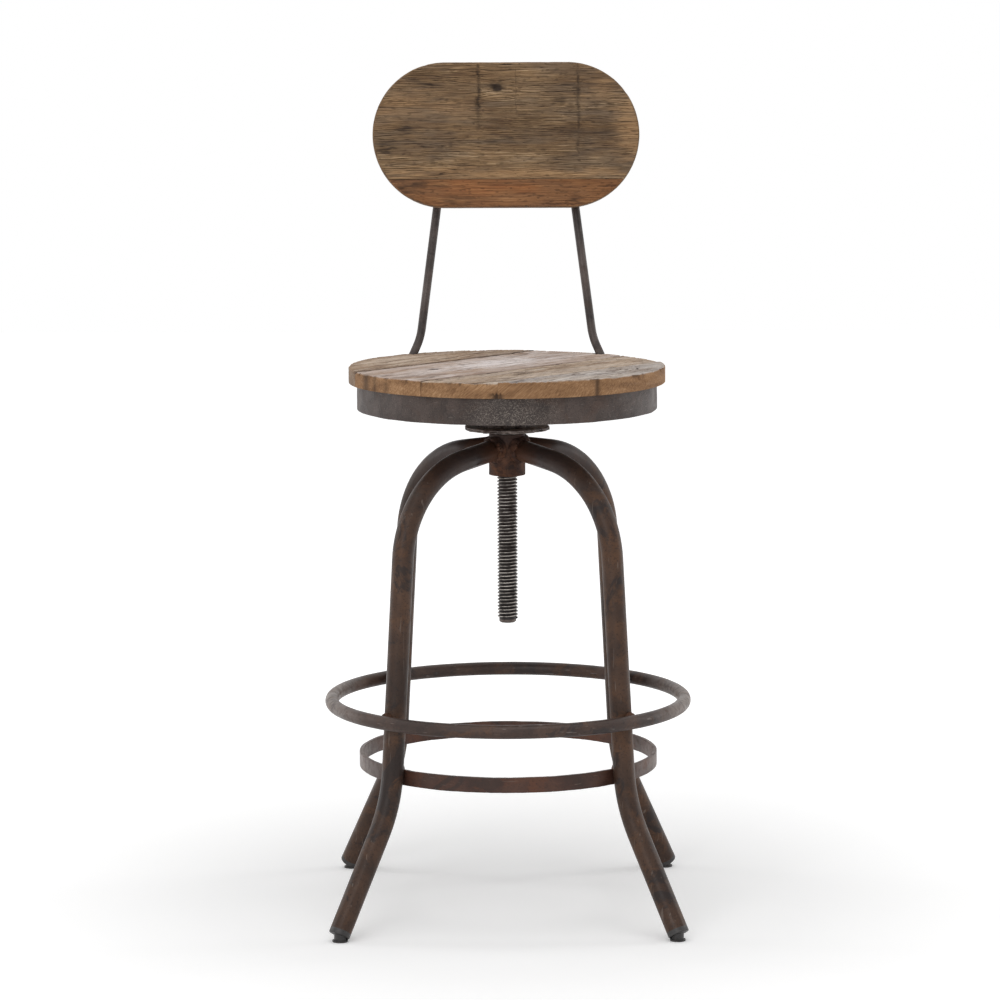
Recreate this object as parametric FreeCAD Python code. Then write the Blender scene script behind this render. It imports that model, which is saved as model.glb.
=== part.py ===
import FreeCAD, Part
import math
import os

# Bar stool with a screw-lift seat, a backrest, a footrest ring and a brace ring.
# Millimetres, +Z up. The origin is on the floor, on the spindle's axis, and the front is -Y.
# Every piece is drawn with the seat screwed all the way down.

Vector = FreeCAD.Vector
up = Vector(0, 0, 1)

# Fits and gaps
seam_gap = 0.4          # between two boards
press_gap = 0.02        # around a shank in its hole
sleeve_gap = 0.05       # between the hub sleeve and its bush
touch_gap = 0.2         # where a curved bar is tacked to a tube
rod_band_gap = 0.4      # between a back rod and the seat band

# Drawing tolerances
sewing_gap = 1e-5       # faces this close are joined into a shell
same_place = 0.01       # points this close count as one

# Hub
hub_bottom = 513.0
hub_length = 49.5
hub_radius = 21.2
hub_bore_radius = 16.0
hub_chamfer = 2.5

# Lifting thread, right hand
thread_pitch = 4.0
thread_radius = 12.0
thread_depth = 2.0
thread_crest = 0.8
thread_radial_play = 0.25
thread_flank_play = 0.2
thread_run_in = 2.0
spindle_below_hub = 175.0
spindle_tip_chamfer = 1.5
steps_per_turn = 24

# Thrust washer and spindle flange
washer_radius = 20.0
washer_thickness = 4.0
washer_play = 0.5
flange_radius = 50.2
flange_thickness = 4.0
flange_edge = 1.2
spindle_over_flange = 6.0

# Seat carrier
riser_radius = 30.0
riser_wall = 3.0
riser_length = 42.3
plate_side = 140.0
plate_thickness = 5.0
bar_width = 30.0
bar_thickness = 5.0
bar_offset = 52.0
plate_bolt_inset = 18.0
plate_bolt_radius = 4.0
plate_bolt_head_flats = 13.0
plate_bolt_head_height = 5.0
plate_bolt_head_sides = 6
plate_bolt_end_gap = 0.5

# Seat boards and band
seat_radius = 185.0
seat_thickness = 17.2
seat_edge_chamfer = 1.6
seat_overhang = 9.7     # of the boards past the band
band_wall = 3.0
band_height = 31.3
board_angle = 49.0
seat_seams = [93.0, -28.0, -112.0]
seat_boards = [
    "seat_board_rear_left",
    "seat_board_middle_left",
    "seat_board_middle_right",
    "seat_board_front_right",
]

# Wood screws
screw_shank_radius = 2.0
screw_head_radius = 4.5
screw_head_height = 2.6
screw_head_gap = 1.0
seat_screw_depth = 12.0
back_screw_depth = 14.0

# Backrest
back_lean = 8.0
back_width = 319.5
back_height = 173.5
back_thickness = 20.0
back_edge_round = 2.5
back_seam_height = 33.5
back_bottom_over_knee = 154.9

# Back rods
rod_radius = 5.0
rod_foot_side = 133.0
rod_foot_rise = 4.0     # over the band's lower edge
rod_knee_side = 103.5
rod_knee_over_seat = 19.5
rod_knee_standoff = 2.6
rod_knee_round = 60.0
rod_top_side = 71.5
rod_top_over_knee = 246.0
rod_notch_play = 0.6
tab_width = 36.0
tab_height = 16.0
tab_thickness = 3.0
tab_end_margin = 2.0
tab_low_height = 17.0
tab_high_height = 78.0

# Legs
leg_radius = 12.5
leg_wall = 1.5
leg_root_drop = 18.3
leg_top_slope = 9.1
shoulder_reach = 163.3
shoulder_round = 115.0
knee_reach = 191.2
knee_height = 147.7
knee_round = 165.0
foot_slope = 59.2

# Foot caps
cap_thickness = 6.0
cap_edge_round = 1.2
cap_floor_gap = 0.9
plug_length = 12.0
plug_play = 0.1
glide_radius = 9.0
glide_thickness = 1.8
glide_neck_radius = 7.0

# Rings
footrest_height = 245.7
footrest_tube_radius = 8.0
footrest_wall = 1.5
footrest_weld_gap = 3.3
brace_top = 186.0
brace_bar_height = 17.7
brace_bar_thickness = 5.0

# Welds
hub_weld_leg = 3.0
hub_weld_length = 4.5
ring_weld_radius = 6.5
brace_weld_radius = 5.0
rod_weld_radius = 6.5
rod_weld_rise = 7.3
brace_weld_rise = 1.4

# Heights that follow from the sizes above
hub_top = hub_bottom + hub_length
washer_top = hub_top + washer_thickness
flange_top = washer_top + flange_thickness
plate_bottom = flange_top + riser_length
plate_top = plate_bottom + plate_thickness
wood_bottom = plate_top + bar_thickness
wood_top = wood_bottom + seat_thickness
band_bottom = wood_bottom - band_height
spindle_bottom = hub_bottom - spindle_below_hub
spindle_top = flange_top + spindle_over_flange
band_radius = seat_radius - seat_overhang
root_radius = thread_radius - thread_depth
flank_slope = (thread_pitch - 2 * thread_crest) / 2 / thread_depth
ridge_base = thread_pitch - thread_crest
spindle_first = spindle_bottom + spindle_tip_chamfer + thread_run_in
half_turns = ((0.0, 0.5), (0.5, 1.0))
root_height = hub_top - leg_root_drop
root_slope = math.tan(math.radians(leg_top_slope))
shoulder_height = root_height - root_slope * (shoulder_reach - hub_radius)

leg_azimuths = {"front_left": 225.0, "front_right": 315.0, "rear_right": 45.0, "rear_left": 135.0}


def cylinder(radius, bottom, top):
    return Part.makeCylinder(radius, top - bottom, Vector(0, 0, bottom))


def ring(outer, inner, bottom, top):
    return cylinder(outer, bottom, top).cut(cylinder(inner, bottom, top))


def turned(shape, angle):
    copy = shape.copy()
    copy.rotate(Vector(0, 0, 0), up, angle)
    return copy


def only_solid(shape):
    return shape.Solids[0]


def rims(shape, centre, radius):
    """The circular edges of this radius that run round this point."""
    length = 2 * math.pi * radius
    closed = [edge for edge in shape.Edges if edge.Closed and abs(edge.Length - length) < same_place]
    return [edge for edge in closed if edge.CenterOfMass.isEqual(centre, same_place)]


def rounded_path(points, rounds):
    """A wire of straight runs through the points, with an arc of the given radius at each inner point."""
    edges = []
    start = points[0]
    for before, corner, after, radius in zip(points, points[1:], points[2:], rounds):
        back = (before - corner).normalize()
        ahead = (after - corner).normalize()
        half_angle = back.getAngle(ahead) / 2
        setback = radius / math.tan(half_angle)
        middle_way = (back + ahead).normalize()
        centre = corner + middle_way * (radius / math.sin(half_angle))
        arc_start = corner + back * setback
        arc_end = corner + ahead * setback
        edges.append(Part.makeLine(start, arc_start))
        edges.append(Part.Arc(arc_start, centre - middle_way * radius, arc_end).toShape())
        start = arc_end
    edges.append(Part.makeLine(start, points[-1]))
    return Part.Wire(edges)


def rod_along(path, radius):
    first = path.Edges[0]
    direction = first.tangentAt(first.FirstParameter)
    outline = Part.Wire([Part.Circle(path.Vertexes[0].Point, direction, radius).toShape()])
    return path.makePipeShell([outline], True, False)


def tube_along(path, radius, wall):
    return rod_along(path, radius).cut(rod_along(path, radius - wall))


# The lifting thread

def helix_point(radius, start, rise, share):
    """The point that share of a turn round the axis, from the height start, climbing by rise per turn."""
    angle = 2 * math.pi * share
    return Vector(radius * math.cos(angle), radius * math.sin(angle), start + rise * share)


def helix_tangent(radius, rise, share):
    """How fast the helix point moves there, per turn."""
    angle = 2 * math.pi * share
    speed = 2 * math.pi * radius
    return Vector(-speed * math.sin(angle), speed * math.cos(angle), rise)


def helix_run(radius, start, rise, begin, end):
    """The stretch of a turn between the two shares, as one smooth curve."""
    count = round(steps_per_turn * (end - begin))
    shares = [begin + (end - begin) * step / count for step in range(count + 1)]
    curve = Part.BSplineCurve()
    curve.interpolate(
        Points=[helix_point(radius, start, rise, share) for share in shares],
        Parameters=shares,
        InitialTangent=helix_tangent(radius, rise, begin),
        FinalTangent=helix_tangent(radius, rise, end),
        Scale=False,
    )
    return curve.toShape()


def ruled(radius, start, rise, other_radius, other_start, other_rise):
    """Two half-turn faces between two turns, so that a face never meets itself."""
    return [
        Part.makeRuledSurface(
            helix_run(radius, start, rise, begin, end),
            helix_run(other_radius, other_start, other_rise, begin, end),
        )
        for begin, end in half_turns
    ]


def threaded_wall(base_radius, crest_radius, base_width, crest_width, first, turns, bottom, top):
    """The faces of a round wall, bottom to top, with a helical ridge whose lower edge starts at first."""
    rise = thread_pitch
    flank = (base_width - crest_width) / 2
    faces = ruled(base_radius, bottom, 0, base_radius, first, rise)
    for turn in range(turns):
        lower = first + turn * rise
        crest_lower = lower + flank
        crest_upper = crest_lower + crest_width
        upper = lower + base_width
        faces += ruled(base_radius, lower, rise, crest_radius, crest_lower, rise)
        faces += ruled(crest_radius, crest_lower, rise, crest_radius, crest_upper, rise)
        faces += ruled(crest_radius, crest_upper, rise, base_radius, upper, rise)
        if turn < turns - 1:
            faces += ruled(base_radius, upper, rise, base_radius, lower + rise, rise)
        else:
            faces += ruled(base_radius, upper, rise, base_radius, top, 0)
    for start in (first, first + turns * rise):
        outline = [
            Vector(base_radius, 0, start),
            Vector(crest_radius, 0, start + flank),
            Vector(crest_radius, 0, start + flank + crest_width),
            Vector(base_radius, 0, start + base_width),
        ]
        faces.append(Part.Face(Part.makePolygon(outline + outline[:1])))
    return faces


def disc_face(radius, height):
    return Part.Face(Part.Wire([helix_run(radius, height, 0, begin, end) for begin, end in half_turns]))


def solid_from(faces):
    shell = Part.Compound(faces)
    shell.sewShape(sewing_gap)
    solid = Part.makeSolid(shell.Shells[0])
    if solid.Volume < 0:
        solid.reverse()
    return solid


def spindle_screw():
    room = washer_top - thread_run_in - ridge_base - spindle_first
    turns = int(room // thread_pitch)
    wall_bottom = spindle_bottom + spindle_tip_chamfer
    tip_radius = root_radius - spindle_tip_chamfer
    faces = threaded_wall(
        root_radius, thread_radius, ridge_base, thread_crest, spindle_first, turns, wall_bottom, spindle_top
    )
    faces += ruled(tip_radius, spindle_bottom, 0, root_radius, wall_bottom, 0)
    faces.append(disc_face(tip_radius, spindle_bottom))
    faces.append(disc_face(root_radius, spindle_top))
    return solid_from(faces)


def threaded_bush():
    """The nut: its ridge fills the spindle's groove, less the play on every side."""
    wall_radius = thread_radius + thread_radial_play
    crest_radius = root_radius + thread_radial_play
    ridge_crest = 2 * (thread_crest / 2 + thread_radial_play * flank_slope - thread_flank_play)
    ridge_width = ridge_crest + 2 * thread_depth * flank_slope
    groove_middle = spindle_first + (ridge_base + thread_pitch) / 2
    lowest = hub_bottom + thread_run_in + ridge_width / 2
    pitches_up = math.ceil((lowest - groove_middle) / thread_pitch)
    first = groove_middle + pitches_up * thread_pitch - ridge_width / 2
    turns = int((hub_top - thread_run_in - ridge_width - first) // thread_pitch)
    faces = threaded_wall(
        wall_radius, crest_radius, ridge_width, ridge_crest, first, turns, hub_bottom, hub_top
    )
    outer = hub_bore_radius - sleeve_gap
    faces += ruled(outer, hub_bottom, 0, outer, hub_top, 0)
    faces += ruled(outer, hub_bottom, 0, wall_radius, hub_bottom, 0)
    faces += ruled(outer, hub_top, 0, wall_radius, hub_top, 0)
    return solid_from(faces)


# The base

def hub_sleeve():
    sleeve = ring(hub_radius, hub_bore_radius, hub_bottom, hub_top)
    return sleeve.makeChamfer(hub_chamfer, rims(sleeve, up * hub_bottom, hub_radius))


def hub_room():
    """The space that the hub takes, run past both of its ends."""
    return cylinder(hub_radius + press_gap, hub_bottom - leg_radius, hub_top + leg_radius)


def foot_direction():
    slope = math.radians(foot_slope)
    return Vector(math.cos(slope), 0, -math.sin(slope))


def cap_end_centre():
    """The middle of a foot cap's end face, on the leg's centre line."""
    height = cap_floor_gap + leg_radius * math.cos(math.radians(foot_slope))
    along = (knee_height - height) / math.sin(math.radians(foot_slope))
    return Vector(knee_reach, 0, knee_height) + foot_direction() * along


def leg_path():
    """The leg's centre line in the XZ plane, from inside the hub to the tube's end."""
    start = Vector(hub_radius / 2, 0, root_height + root_slope * hub_radius / 2)
    shoulder = Vector(shoulder_reach, 0, shoulder_height)
    knee = Vector(knee_reach, 0, knee_height)
    end = cap_end_centre() - foot_direction() * cap_thickness
    return rounded_path([start, shoulder, knee, end], [shoulder_round, knee_round])


def leg_reach_at(height):
    """How far the leg's centre line is from the axis, on its straight run between shoulder and knee."""
    share = (shoulder_height - height) / (shoulder_height - knee_height)
    return shoulder_reach + (knee_reach - shoulder_reach) * share


def leg_half_width():
    """Half of the leg tube's width, measured level, on the same straight run."""
    lean = math.atan2(knee_reach - shoulder_reach, shoulder_height - knee_height)
    return leg_radius / math.cos(lean)


def leg():
    tube = tube_along(leg_path(), leg_radius, leg_wall)
    return only_solid(tube.cut(hub_room()))


def foot_cap():
    """A collar under the tube's end, a plug inside the tube, and a neck on a flat glide."""
    centre = cap_end_centre()
    inward = foot_direction() * -1
    collar = Part.makeCylinder(leg_radius, cap_thickness, centre, inward)
    collar = collar.makeFillet(cap_edge_round, rims(collar, centre, leg_radius))
    plug_start = centre + inward * cap_thickness
    plug = Part.makeCylinder(leg_radius - leg_wall - plug_play, plug_length, plug_start, inward)
    inner_corner = centre.x - leg_radius * math.sin(math.radians(foot_slope))
    glide_middle = Vector(inner_corner + glide_radius, 0, 0)
    glide = Part.makeCylinder(glide_radius, glide_thickness, glide_middle)
    neck = Part.makeCylinder(glide_neck_radius, 2 * centre.z, glide_middle)
    neck = neck.cut(Part.makeCylinder(2 * leg_radius, leg_radius, centre, inward))
    return only_solid(collar.fuse([plug, neck, glide]).removeSplitter())


def footrest_centre_radius():
    return leg_reach_at(footrest_height) + leg_half_width() + footrest_weld_gap + footrest_tube_radius


def footrest_ring():
    centre = up * footrest_height
    outside = Part.makeTorus(footrest_centre_radius(), footrest_tube_radius, centre)
    inside = Part.makeTorus(footrest_centre_radius(), footrest_tube_radius - footrest_wall, centre)
    return outside.cut(inside)


def brace_outer_radius():
    return leg_reach_at(brace_top) - leg_half_width() - touch_gap


def brace_ring():
    outer = brace_outer_radius()
    return ring(outer, outer - brace_bar_thickness, brace_top - brace_bar_height, brace_top)


def hub_weld():
    """A tapering bead round the leg tube where it meets the hub."""
    path = leg_path()
    first = path.Edges[0]
    direction = first.tangentAt(first.FirstParameter)
    start = path.Vertexes[0].Point
    length = hub_radius / 2 + hub_weld_length
    bead = Part.makeCone(leg_radius + hub_weld_leg, leg_radius + touch_gap, length, start, direction)
    bead = bead.cut(Part.makeCylinder(leg_radius, length, start, direction))
    return only_solid(bead.cut(hub_room()))


def footrest_weld():
    """A lump of weld over the gap between a leg and the footrest ring."""
    reach = leg_reach_at(footrest_height) + leg_half_width() + footrest_weld_gap / 2
    middle = Vector(reach, 0, footrest_height + ring_weld_radius / 2)
    lump = Part.makeSphere(ring_weld_radius, middle, Vector(1, 0, 0))
    lump = lump.cut(rod_along(leg_path(), leg_radius))
    ring_room = Part.makeTorus(footrest_centre_radius(), footrest_tube_radius, up * footrest_height)
    return only_solid(lump.cut(ring_room))


def brace_weld():
    """A lump of weld on the brace ring's upper edge, against a leg."""
    middle = Vector(brace_outer_radius(), 0, brace_top + brace_weld_rise)
    lump = Part.makeSphere(brace_weld_radius, middle, Vector(1, 0, 0))
    lump = lump.cut(rod_along(leg_path(), leg_radius))
    return only_solid(lump.cut(brace_ring()))


# The seat carrier

def thrust_washer():
    return ring(washer_radius, thread_radius + washer_play, hub_top, washer_top)


def spindle_flange():
    plate = ring(flange_radius, root_radius + press_gap, washer_top, flange_top)
    return plate.makeChamfer(flange_edge, rims(plate, up * washer_top, flange_radius))


def riser_tube():
    return ring(riser_radius, riser_radius - riser_wall, flange_top, plate_bottom)


def across_frame(shape):
    """Turns a shape drawn along X and Y so that its Y lies along the boards' joints."""
    return turned(shape, board_angle - 90)


def plate_bolt_places():
    side = plate_side / 2 - plate_bolt_inset
    return [Vector(x, y, 0) for x in (-side, side) for y in (-bar_offset, bar_offset)]


def holes_at(places, radius, bottom, depth):
    """Upright holes at the places, to be cut from a shape drawn along X and Y."""
    return Part.Compound([Part.makeCylinder(radius, depth, place + up * bottom) for place in places])


def board_middles():
    """The middle of each board, measured across the boards."""
    edges = [band_radius - band_wall] + seat_seams + [band_wall - band_radius]
    return [(high + low) / 2 for high, low in zip(edges, edges[1:])]


def seat_screw_places():
    return [Vector(-middle, y, 0) for middle in board_middles() for y in (-bar_offset, bar_offset)]


def mounting_plate():
    half = plate_side / 2
    plate = Part.makeBox(plate_side, plate_side, plate_thickness, Vector(-half, -half, plate_bottom))
    bolt_holes = holes_at(plate_bolt_places(), plate_bolt_radius + press_gap, plate_bottom, plate_thickness)
    covered = [place for place in seat_screw_places() if abs(place.x) < half + screw_head_radius]
    head_holes = holes_at(covered, screw_head_radius + screw_head_gap, plate_bottom, plate_thickness)
    return across_frame(only_solid(plate.cut(bolt_holes).cut(head_holes)))


def seat_bar(side):
    """A flat bar across all the boards, on the front or the rear side of the axis."""
    reach = band_radius - band_wall
    corner = Vector(-reach, side * bar_offset - bar_width / 2, plate_top)
    bar = Part.makeBox(2 * reach, bar_width, bar_thickness, corner)
    bar = bar.common(cylinder(reach, plate_top, wood_bottom))
    bolt_holes = holes_at(plate_bolt_places(), plate_bolt_radius + press_gap, plate_top, bar_thickness)
    screw_holes = holes_at(seat_screw_places(), screw_shank_radius + press_gap, plate_top, bar_thickness)
    return across_frame(only_solid(bar.cut(bolt_holes).cut(screw_holes)))


def arm(length, angle):
    return Vector(length * math.cos(math.radians(angle)), length * math.sin(math.radians(angle)), 0)


def plate_bolt(place):
    """A hexagon-head bolt driven up through the plate and a bar."""
    seat = place + up * plate_bottom
    turn = 360 / plate_bolt_head_sides
    reach = plate_bolt_head_flats / 2 / math.cos(math.radians(turn / 2))
    corners = [seat + arm(reach, turn * corner) for corner in range(plate_bolt_head_sides)]
    head = Part.Face(Part.makePolygon(corners + corners[:1])).extrude(up * -plate_bolt_head_height)
    length = plate_thickness + bar_thickness - plate_bolt_end_gap
    shank = Part.makeCylinder(plate_bolt_radius, length, seat)
    return only_solid(head.fuse(shank).removeSplitter())


def plate_bolts():
    return across_frame(Part.Compound([plate_bolt(place) for place in plate_bolt_places()]))


def wood_screw(seat, direction, length):
    """A pan-head screw whose head sits on the point seat, driven along the direction."""
    shank = Part.makeCylinder(screw_shank_radius, length, seat, direction)
    head_end = seat - direction * screw_head_height
    head = Part.makeCylinder(screw_head_radius, screw_head_height, head_end, direction)
    head = head.makeFillet(screw_head_height / 2, rims(head, head_end, screw_head_radius))
    return only_solid(head.fuse(shank).removeSplitter())


def seat_screws():
    length = bar_thickness + seat_screw_depth
    screws = [wood_screw(place + up * plate_top, up, length) for place in seat_screw_places()]
    return across_frame(Part.Compound(screws))


def seat_band():
    return ring(band_radius, band_radius - band_wall, band_bottom, wood_bottom)


# The back rods

def knee_point(side):
    """Where a rod's straight runs would meet, over the seat's rear edge. Side is 1 right, -1 left."""
    reach = band_radius + rod_radius + rod_band_gap + rod_knee_standoff
    depth = math.sqrt(reach ** 2 - rod_knee_side ** 2)
    return Vector(side * rod_knee_side, depth, wood_top + rod_knee_over_seat)


def foot_point(side):
    reach = band_radius + rod_radius + rod_band_gap
    depth = math.sqrt(reach ** 2 - rod_foot_side ** 2)
    return Vector(side * rod_foot_side, depth, band_bottom + rod_foot_rise)


def back_place(across, height, behind):
    """A point placed across, up along the lean from the rods' knees, and behind the rods' centres."""
    lean = math.radians(back_lean)
    knee = knee_point(1)
    return Vector(
        across,
        knee.y + height * math.sin(lean) + behind * math.cos(lean),
        knee.z + height * math.cos(lean) - behind * math.sin(lean),
    )


def rod_side_at(height):
    """How far the right-hand rod is from the middle at this height up the lean."""
    return rod_knee_side + (rod_top_side - rod_knee_side) * height / rod_top_over_knee


def back_rod(side):
    top = back_place(side * rod_top_side, rod_top_over_knee, 0)
    return rod_along(rounded_path([foot_point(side), knee_point(side), top], [rod_knee_round]), rod_radius)


def rod_notch(side):
    """A slanted slot that the rod passes through, open past the seat's rim."""
    foot = foot_point(side)
    run = knee_point(side) - foot
    half = rod_radius * run.Length / run.z + rod_notch_play
    past_rim = seat_radius - band_radius + 2 * rod_radius
    outward = Vector(foot.x, foot.y, 0).normalize()
    along = Vector(-outward.y, outward.x, 0)
    outline = [
        foot - outward * half + along * half,
        foot - outward * half - along * half,
        foot + outward * past_rim - along * half,
        foot + outward * past_rim + along * half,
    ]
    return Part.Face(Part.makePolygon(outline + outline[:1])).extrude(run)


def rod_weld(side):
    """A bead between the rod and the band, a little above the rod's cut end."""
    run = (knee_point(side) - foot_point(side)).normalize()
    middle = foot_point(side) + run * rod_weld_rise
    inward = Vector(-middle.x, -middle.y, 0).normalize()
    lump = Part.makeSphere(rod_weld_radius, middle + inward * (rod_radius + rod_band_gap / 2), inward)
    band_room = cylinder(band_radius, band_bottom - rod_weld_radius, wood_top)
    return only_solid(lump.cut(back_rod(side)).cut(band_room))


# The boards

def seat_disc():
    disc = cylinder(seat_radius, wood_bottom, wood_top)
    disc = disc.makeChamfer(seat_edge_chamfer, rims(disc, up * wood_top, seat_radius))
    depth = seat_screw_depth + press_gap
    screw_holes = holes_at(seat_screw_places(), screw_shank_radius + press_gap, wood_bottom, depth)
    return disc.cut(rod_notch(1)).cut(rod_notch(-1)).cut(across_frame(screw_holes))


def seat_board_solids():
    disc = seat_disc()
    edges = [seat_radius] + seat_seams + [-seat_radius]
    boards = []
    for high, low in zip(edges, edges[1:]):
        top = high - seam_gap / 2
        bottom = low + seam_gap / 2
        corner = Vector(-top, -seat_radius, wood_bottom)
        strip = across_frame(Part.makeBox(top - bottom, 2 * seat_radius, seat_thickness, corner))
        boards.append(only_solid(disc.common(strip)))
    return boards


def back_outline_solid():
    """The whole backrest as a slab with round ends, drawn upright and facing -Y at its lower middle."""
    round_end = back_height / 2
    half = back_width / 2 - round_end
    low_left = Vector(-half, 0, 0)
    low_right = Vector(half, 0, 0)
    high_left = Vector(-half, 0, back_height)
    high_right = Vector(half, 0, back_height)
    edges = [
        Part.makeLine(low_left, low_right),
        Part.Arc(low_right, Vector(half + round_end, 0, round_end), high_right).toShape(),
        Part.makeLine(high_right, high_left),
        Part.Arc(high_left, Vector(-half - round_end, 0, round_end), low_left).toShape(),
    ]
    slab = Part.Face(Part.Wire(edges)).extrude(Vector(0, back_thickness, 0))
    outline_edges = [edge for edge in slab.Edges if edge.BoundBox.YLength < same_place]
    return slab.makeFillet(back_edge_round, outline_edges)


def leaned(shape):
    """Moves a shape drawn upright at the backrest's front lower middle to its place on the rods."""
    copy = shape.copy()
    copy.rotate(Vector(0, 0, 0), Vector(1, 0, 0), -back_lean)
    copy.translate(back_place(0, back_bottom_over_knee, -rod_radius - tab_thickness - back_thickness))
    return copy


def tab_places():
    """The middles of the tabs in the upright drawing: side and height over the backrest's lower edge."""
    heights = (tab_low_height, tab_high_height)
    right = [(rod_side_at(back_bottom_over_knee + height), height) for height in heights]
    return right + [(-side, height) for side, height in right]


def back_screw_seats():
    shift = tab_width / 2 - screw_head_radius - tab_end_margin
    return [
        Vector(side + math.copysign(shift, side), back_thickness + tab_thickness, height)
        for side, height in tab_places()
    ]


def back_between(bottom, top):
    """A block across the whole backrest between two heights, run past its sides."""
    corner = Vector(-back_width, -back_thickness, bottom)
    return Part.makeBox(2 * back_width, 3 * back_thickness, top - bottom, corner)


def back_board_solids():
    slab = back_outline_solid()
    forward = Vector(0, -1, 0)
    for seat in back_screw_seats():
        start = Vector(seat.x, back_thickness, seat.z)
        hole_radius = screw_shank_radius + press_gap
        slab = slab.cut(Part.makeCylinder(hole_radius, back_screw_depth + press_gap, start, forward))
    lower = slab.common(back_between(-back_height, back_seam_height - seam_gap / 2))
    upper = slab.common(back_between(back_seam_height + seam_gap / 2, 2 * back_height))
    return leaned(only_solid(lower)), leaned(only_solid(upper))


def backrest_tabs():
    tabs = []
    for (side, height), seat in zip(tab_places(), back_screw_seats()):
        corner = Vector(side - tab_width / 2, back_thickness, height - tab_height / 2)
        tab = Part.makeBox(tab_width, tab_thickness, tab_height, corner)
        hole = Part.makeCylinder(screw_shank_radius + press_gap, tab_thickness, seat, Vector(0, -1, 0))
        tabs.append(only_solid(tab.cut(hole)))
    return leaned(Part.Compound(tabs))


def backrest_screws():
    length = tab_thickness + back_screw_depth
    forward = Vector(0, -1, 0)
    return leaned(Part.Compound([wood_screw(seat, forward, length) for seat in back_screw_seats()]))


# Every node

def build_nodes():
    nodes = {
        "hub_sleeve": hub_sleeve(),
        "threaded_bush": threaded_bush(),
        "footrest_ring": footrest_ring(),
        "brace_ring": brace_ring(),
        "thrust_washer": thrust_washer(),
        "spindle_screw": spindle_screw(),
        "spindle_flange": spindle_flange(),
        "riser_tube": riser_tube(),
        "mounting_plate": mounting_plate(),
        "plate_bolts": plate_bolts(),
        "seat_bar_front": seat_bar(-1),
        "seat_bar_rear": seat_bar(1),
        "seat_screws": seat_screws(),
        "seat_band": seat_band(),
        "back_rod_right": back_rod(1),
        "back_rod_left": back_rod(-1),
        "rod_welds": Part.Compound([rod_weld(1), rod_weld(-1)]),
        "backrest_tabs": backrest_tabs(),
        "backrest_screws": backrest_screws(),
    }
    one_leg = leg()
    one_cap = foot_cap()
    for corner, azimuth in leg_azimuths.items():
        nodes["leg_" + corner] = turned(one_leg, azimuth)
        nodes["foot_cap_" + corner] = turned(one_cap, azimuth)
    beads = {"hub_welds": hub_weld(), "footrest_welds": footrest_weld(), "brace_welds": brace_weld()}
    for name, bead in beads.items():
        nodes[name] = Part.Compound([turned(bead, azimuth) for azimuth in leg_azimuths.values()])
    for name, board in zip(seat_boards, seat_board_solids()):
        nodes[name] = board
    nodes["backrest_board_lower"], nodes["backrest_board_upper"] = back_board_solids()
    return nodes


os.makedirs("parts", exist_ok=True)
for node_name, node_shape in build_nodes().items():
    node_shape.exportStep("parts/" + node_name + ".step")
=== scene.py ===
import bpy
import math
import numpy as np
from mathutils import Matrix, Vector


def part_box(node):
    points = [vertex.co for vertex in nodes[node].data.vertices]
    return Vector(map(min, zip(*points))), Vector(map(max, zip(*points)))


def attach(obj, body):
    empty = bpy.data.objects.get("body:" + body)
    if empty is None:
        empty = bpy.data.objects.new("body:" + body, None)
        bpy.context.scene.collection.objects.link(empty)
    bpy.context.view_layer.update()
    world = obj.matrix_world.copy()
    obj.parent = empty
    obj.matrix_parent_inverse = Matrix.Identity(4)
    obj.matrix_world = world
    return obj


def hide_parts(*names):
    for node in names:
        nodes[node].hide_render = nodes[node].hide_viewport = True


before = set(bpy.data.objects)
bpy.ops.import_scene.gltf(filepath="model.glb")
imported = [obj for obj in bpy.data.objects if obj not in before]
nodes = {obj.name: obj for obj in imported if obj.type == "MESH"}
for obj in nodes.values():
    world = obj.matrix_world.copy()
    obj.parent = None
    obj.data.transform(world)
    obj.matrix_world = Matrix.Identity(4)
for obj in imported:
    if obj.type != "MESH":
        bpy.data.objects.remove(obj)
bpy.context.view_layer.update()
scene = bpy.context.scene
legCorners = ("front_left", "front_right", "rear_right", "rear_left")
mm = 1000  # millimetres in a metre, the unit of the boards' and turned pieces' noise
tiny = 1e-9  # keeps a length from being divided by nothing
print("stool frame loaded,", len(nodes), "nodes")

# camera, level with the middle of the backrest and looking a little down
cameraSetup = {
    "lens": 154.8,
    "sensor": 36.0,
    "place": (-0.0062, -5.0, 1.167),
    "pitchDown": 0.136,
    "roll": 0.0035,
}


def addCamera(setup):
    data = bpy.data.cameras.new("stoolCamera")
    data.lens = setup["lens"]
    data.sensor_width = setup["sensor"]
    camera = bpy.data.objects.new("stoolCamera", data)
    camera.location = setup["place"]
    camera.rotation_euler = (math.pi / 2 - setup["pitchDown"], setup["roll"], 0)
    scene.collection.objects.link(camera)
    scene.camera = camera


addCamera(cameraSetup)


# repeatable noise, from -1 to 1, on whole places that are blended smoothly
def latticeValue(ix, iy, iz, seed):
    n = (ix * 73856093) ^ (iy * 19349663) ^ (iz * 83492791) ^ (seed * 40503731)
    n = n & 0xFFFFFFFF
    n = ((n ^ (n >> 15)) * 73244475) & 0xFFFFFFFF
    n = ((n ^ (n >> 13)) * 86028157) & 0xFFFFFFFF
    return ((n ^ (n >> 16)) & 0xFFFFFF) / 0x7FFFFF - 1.0


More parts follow.
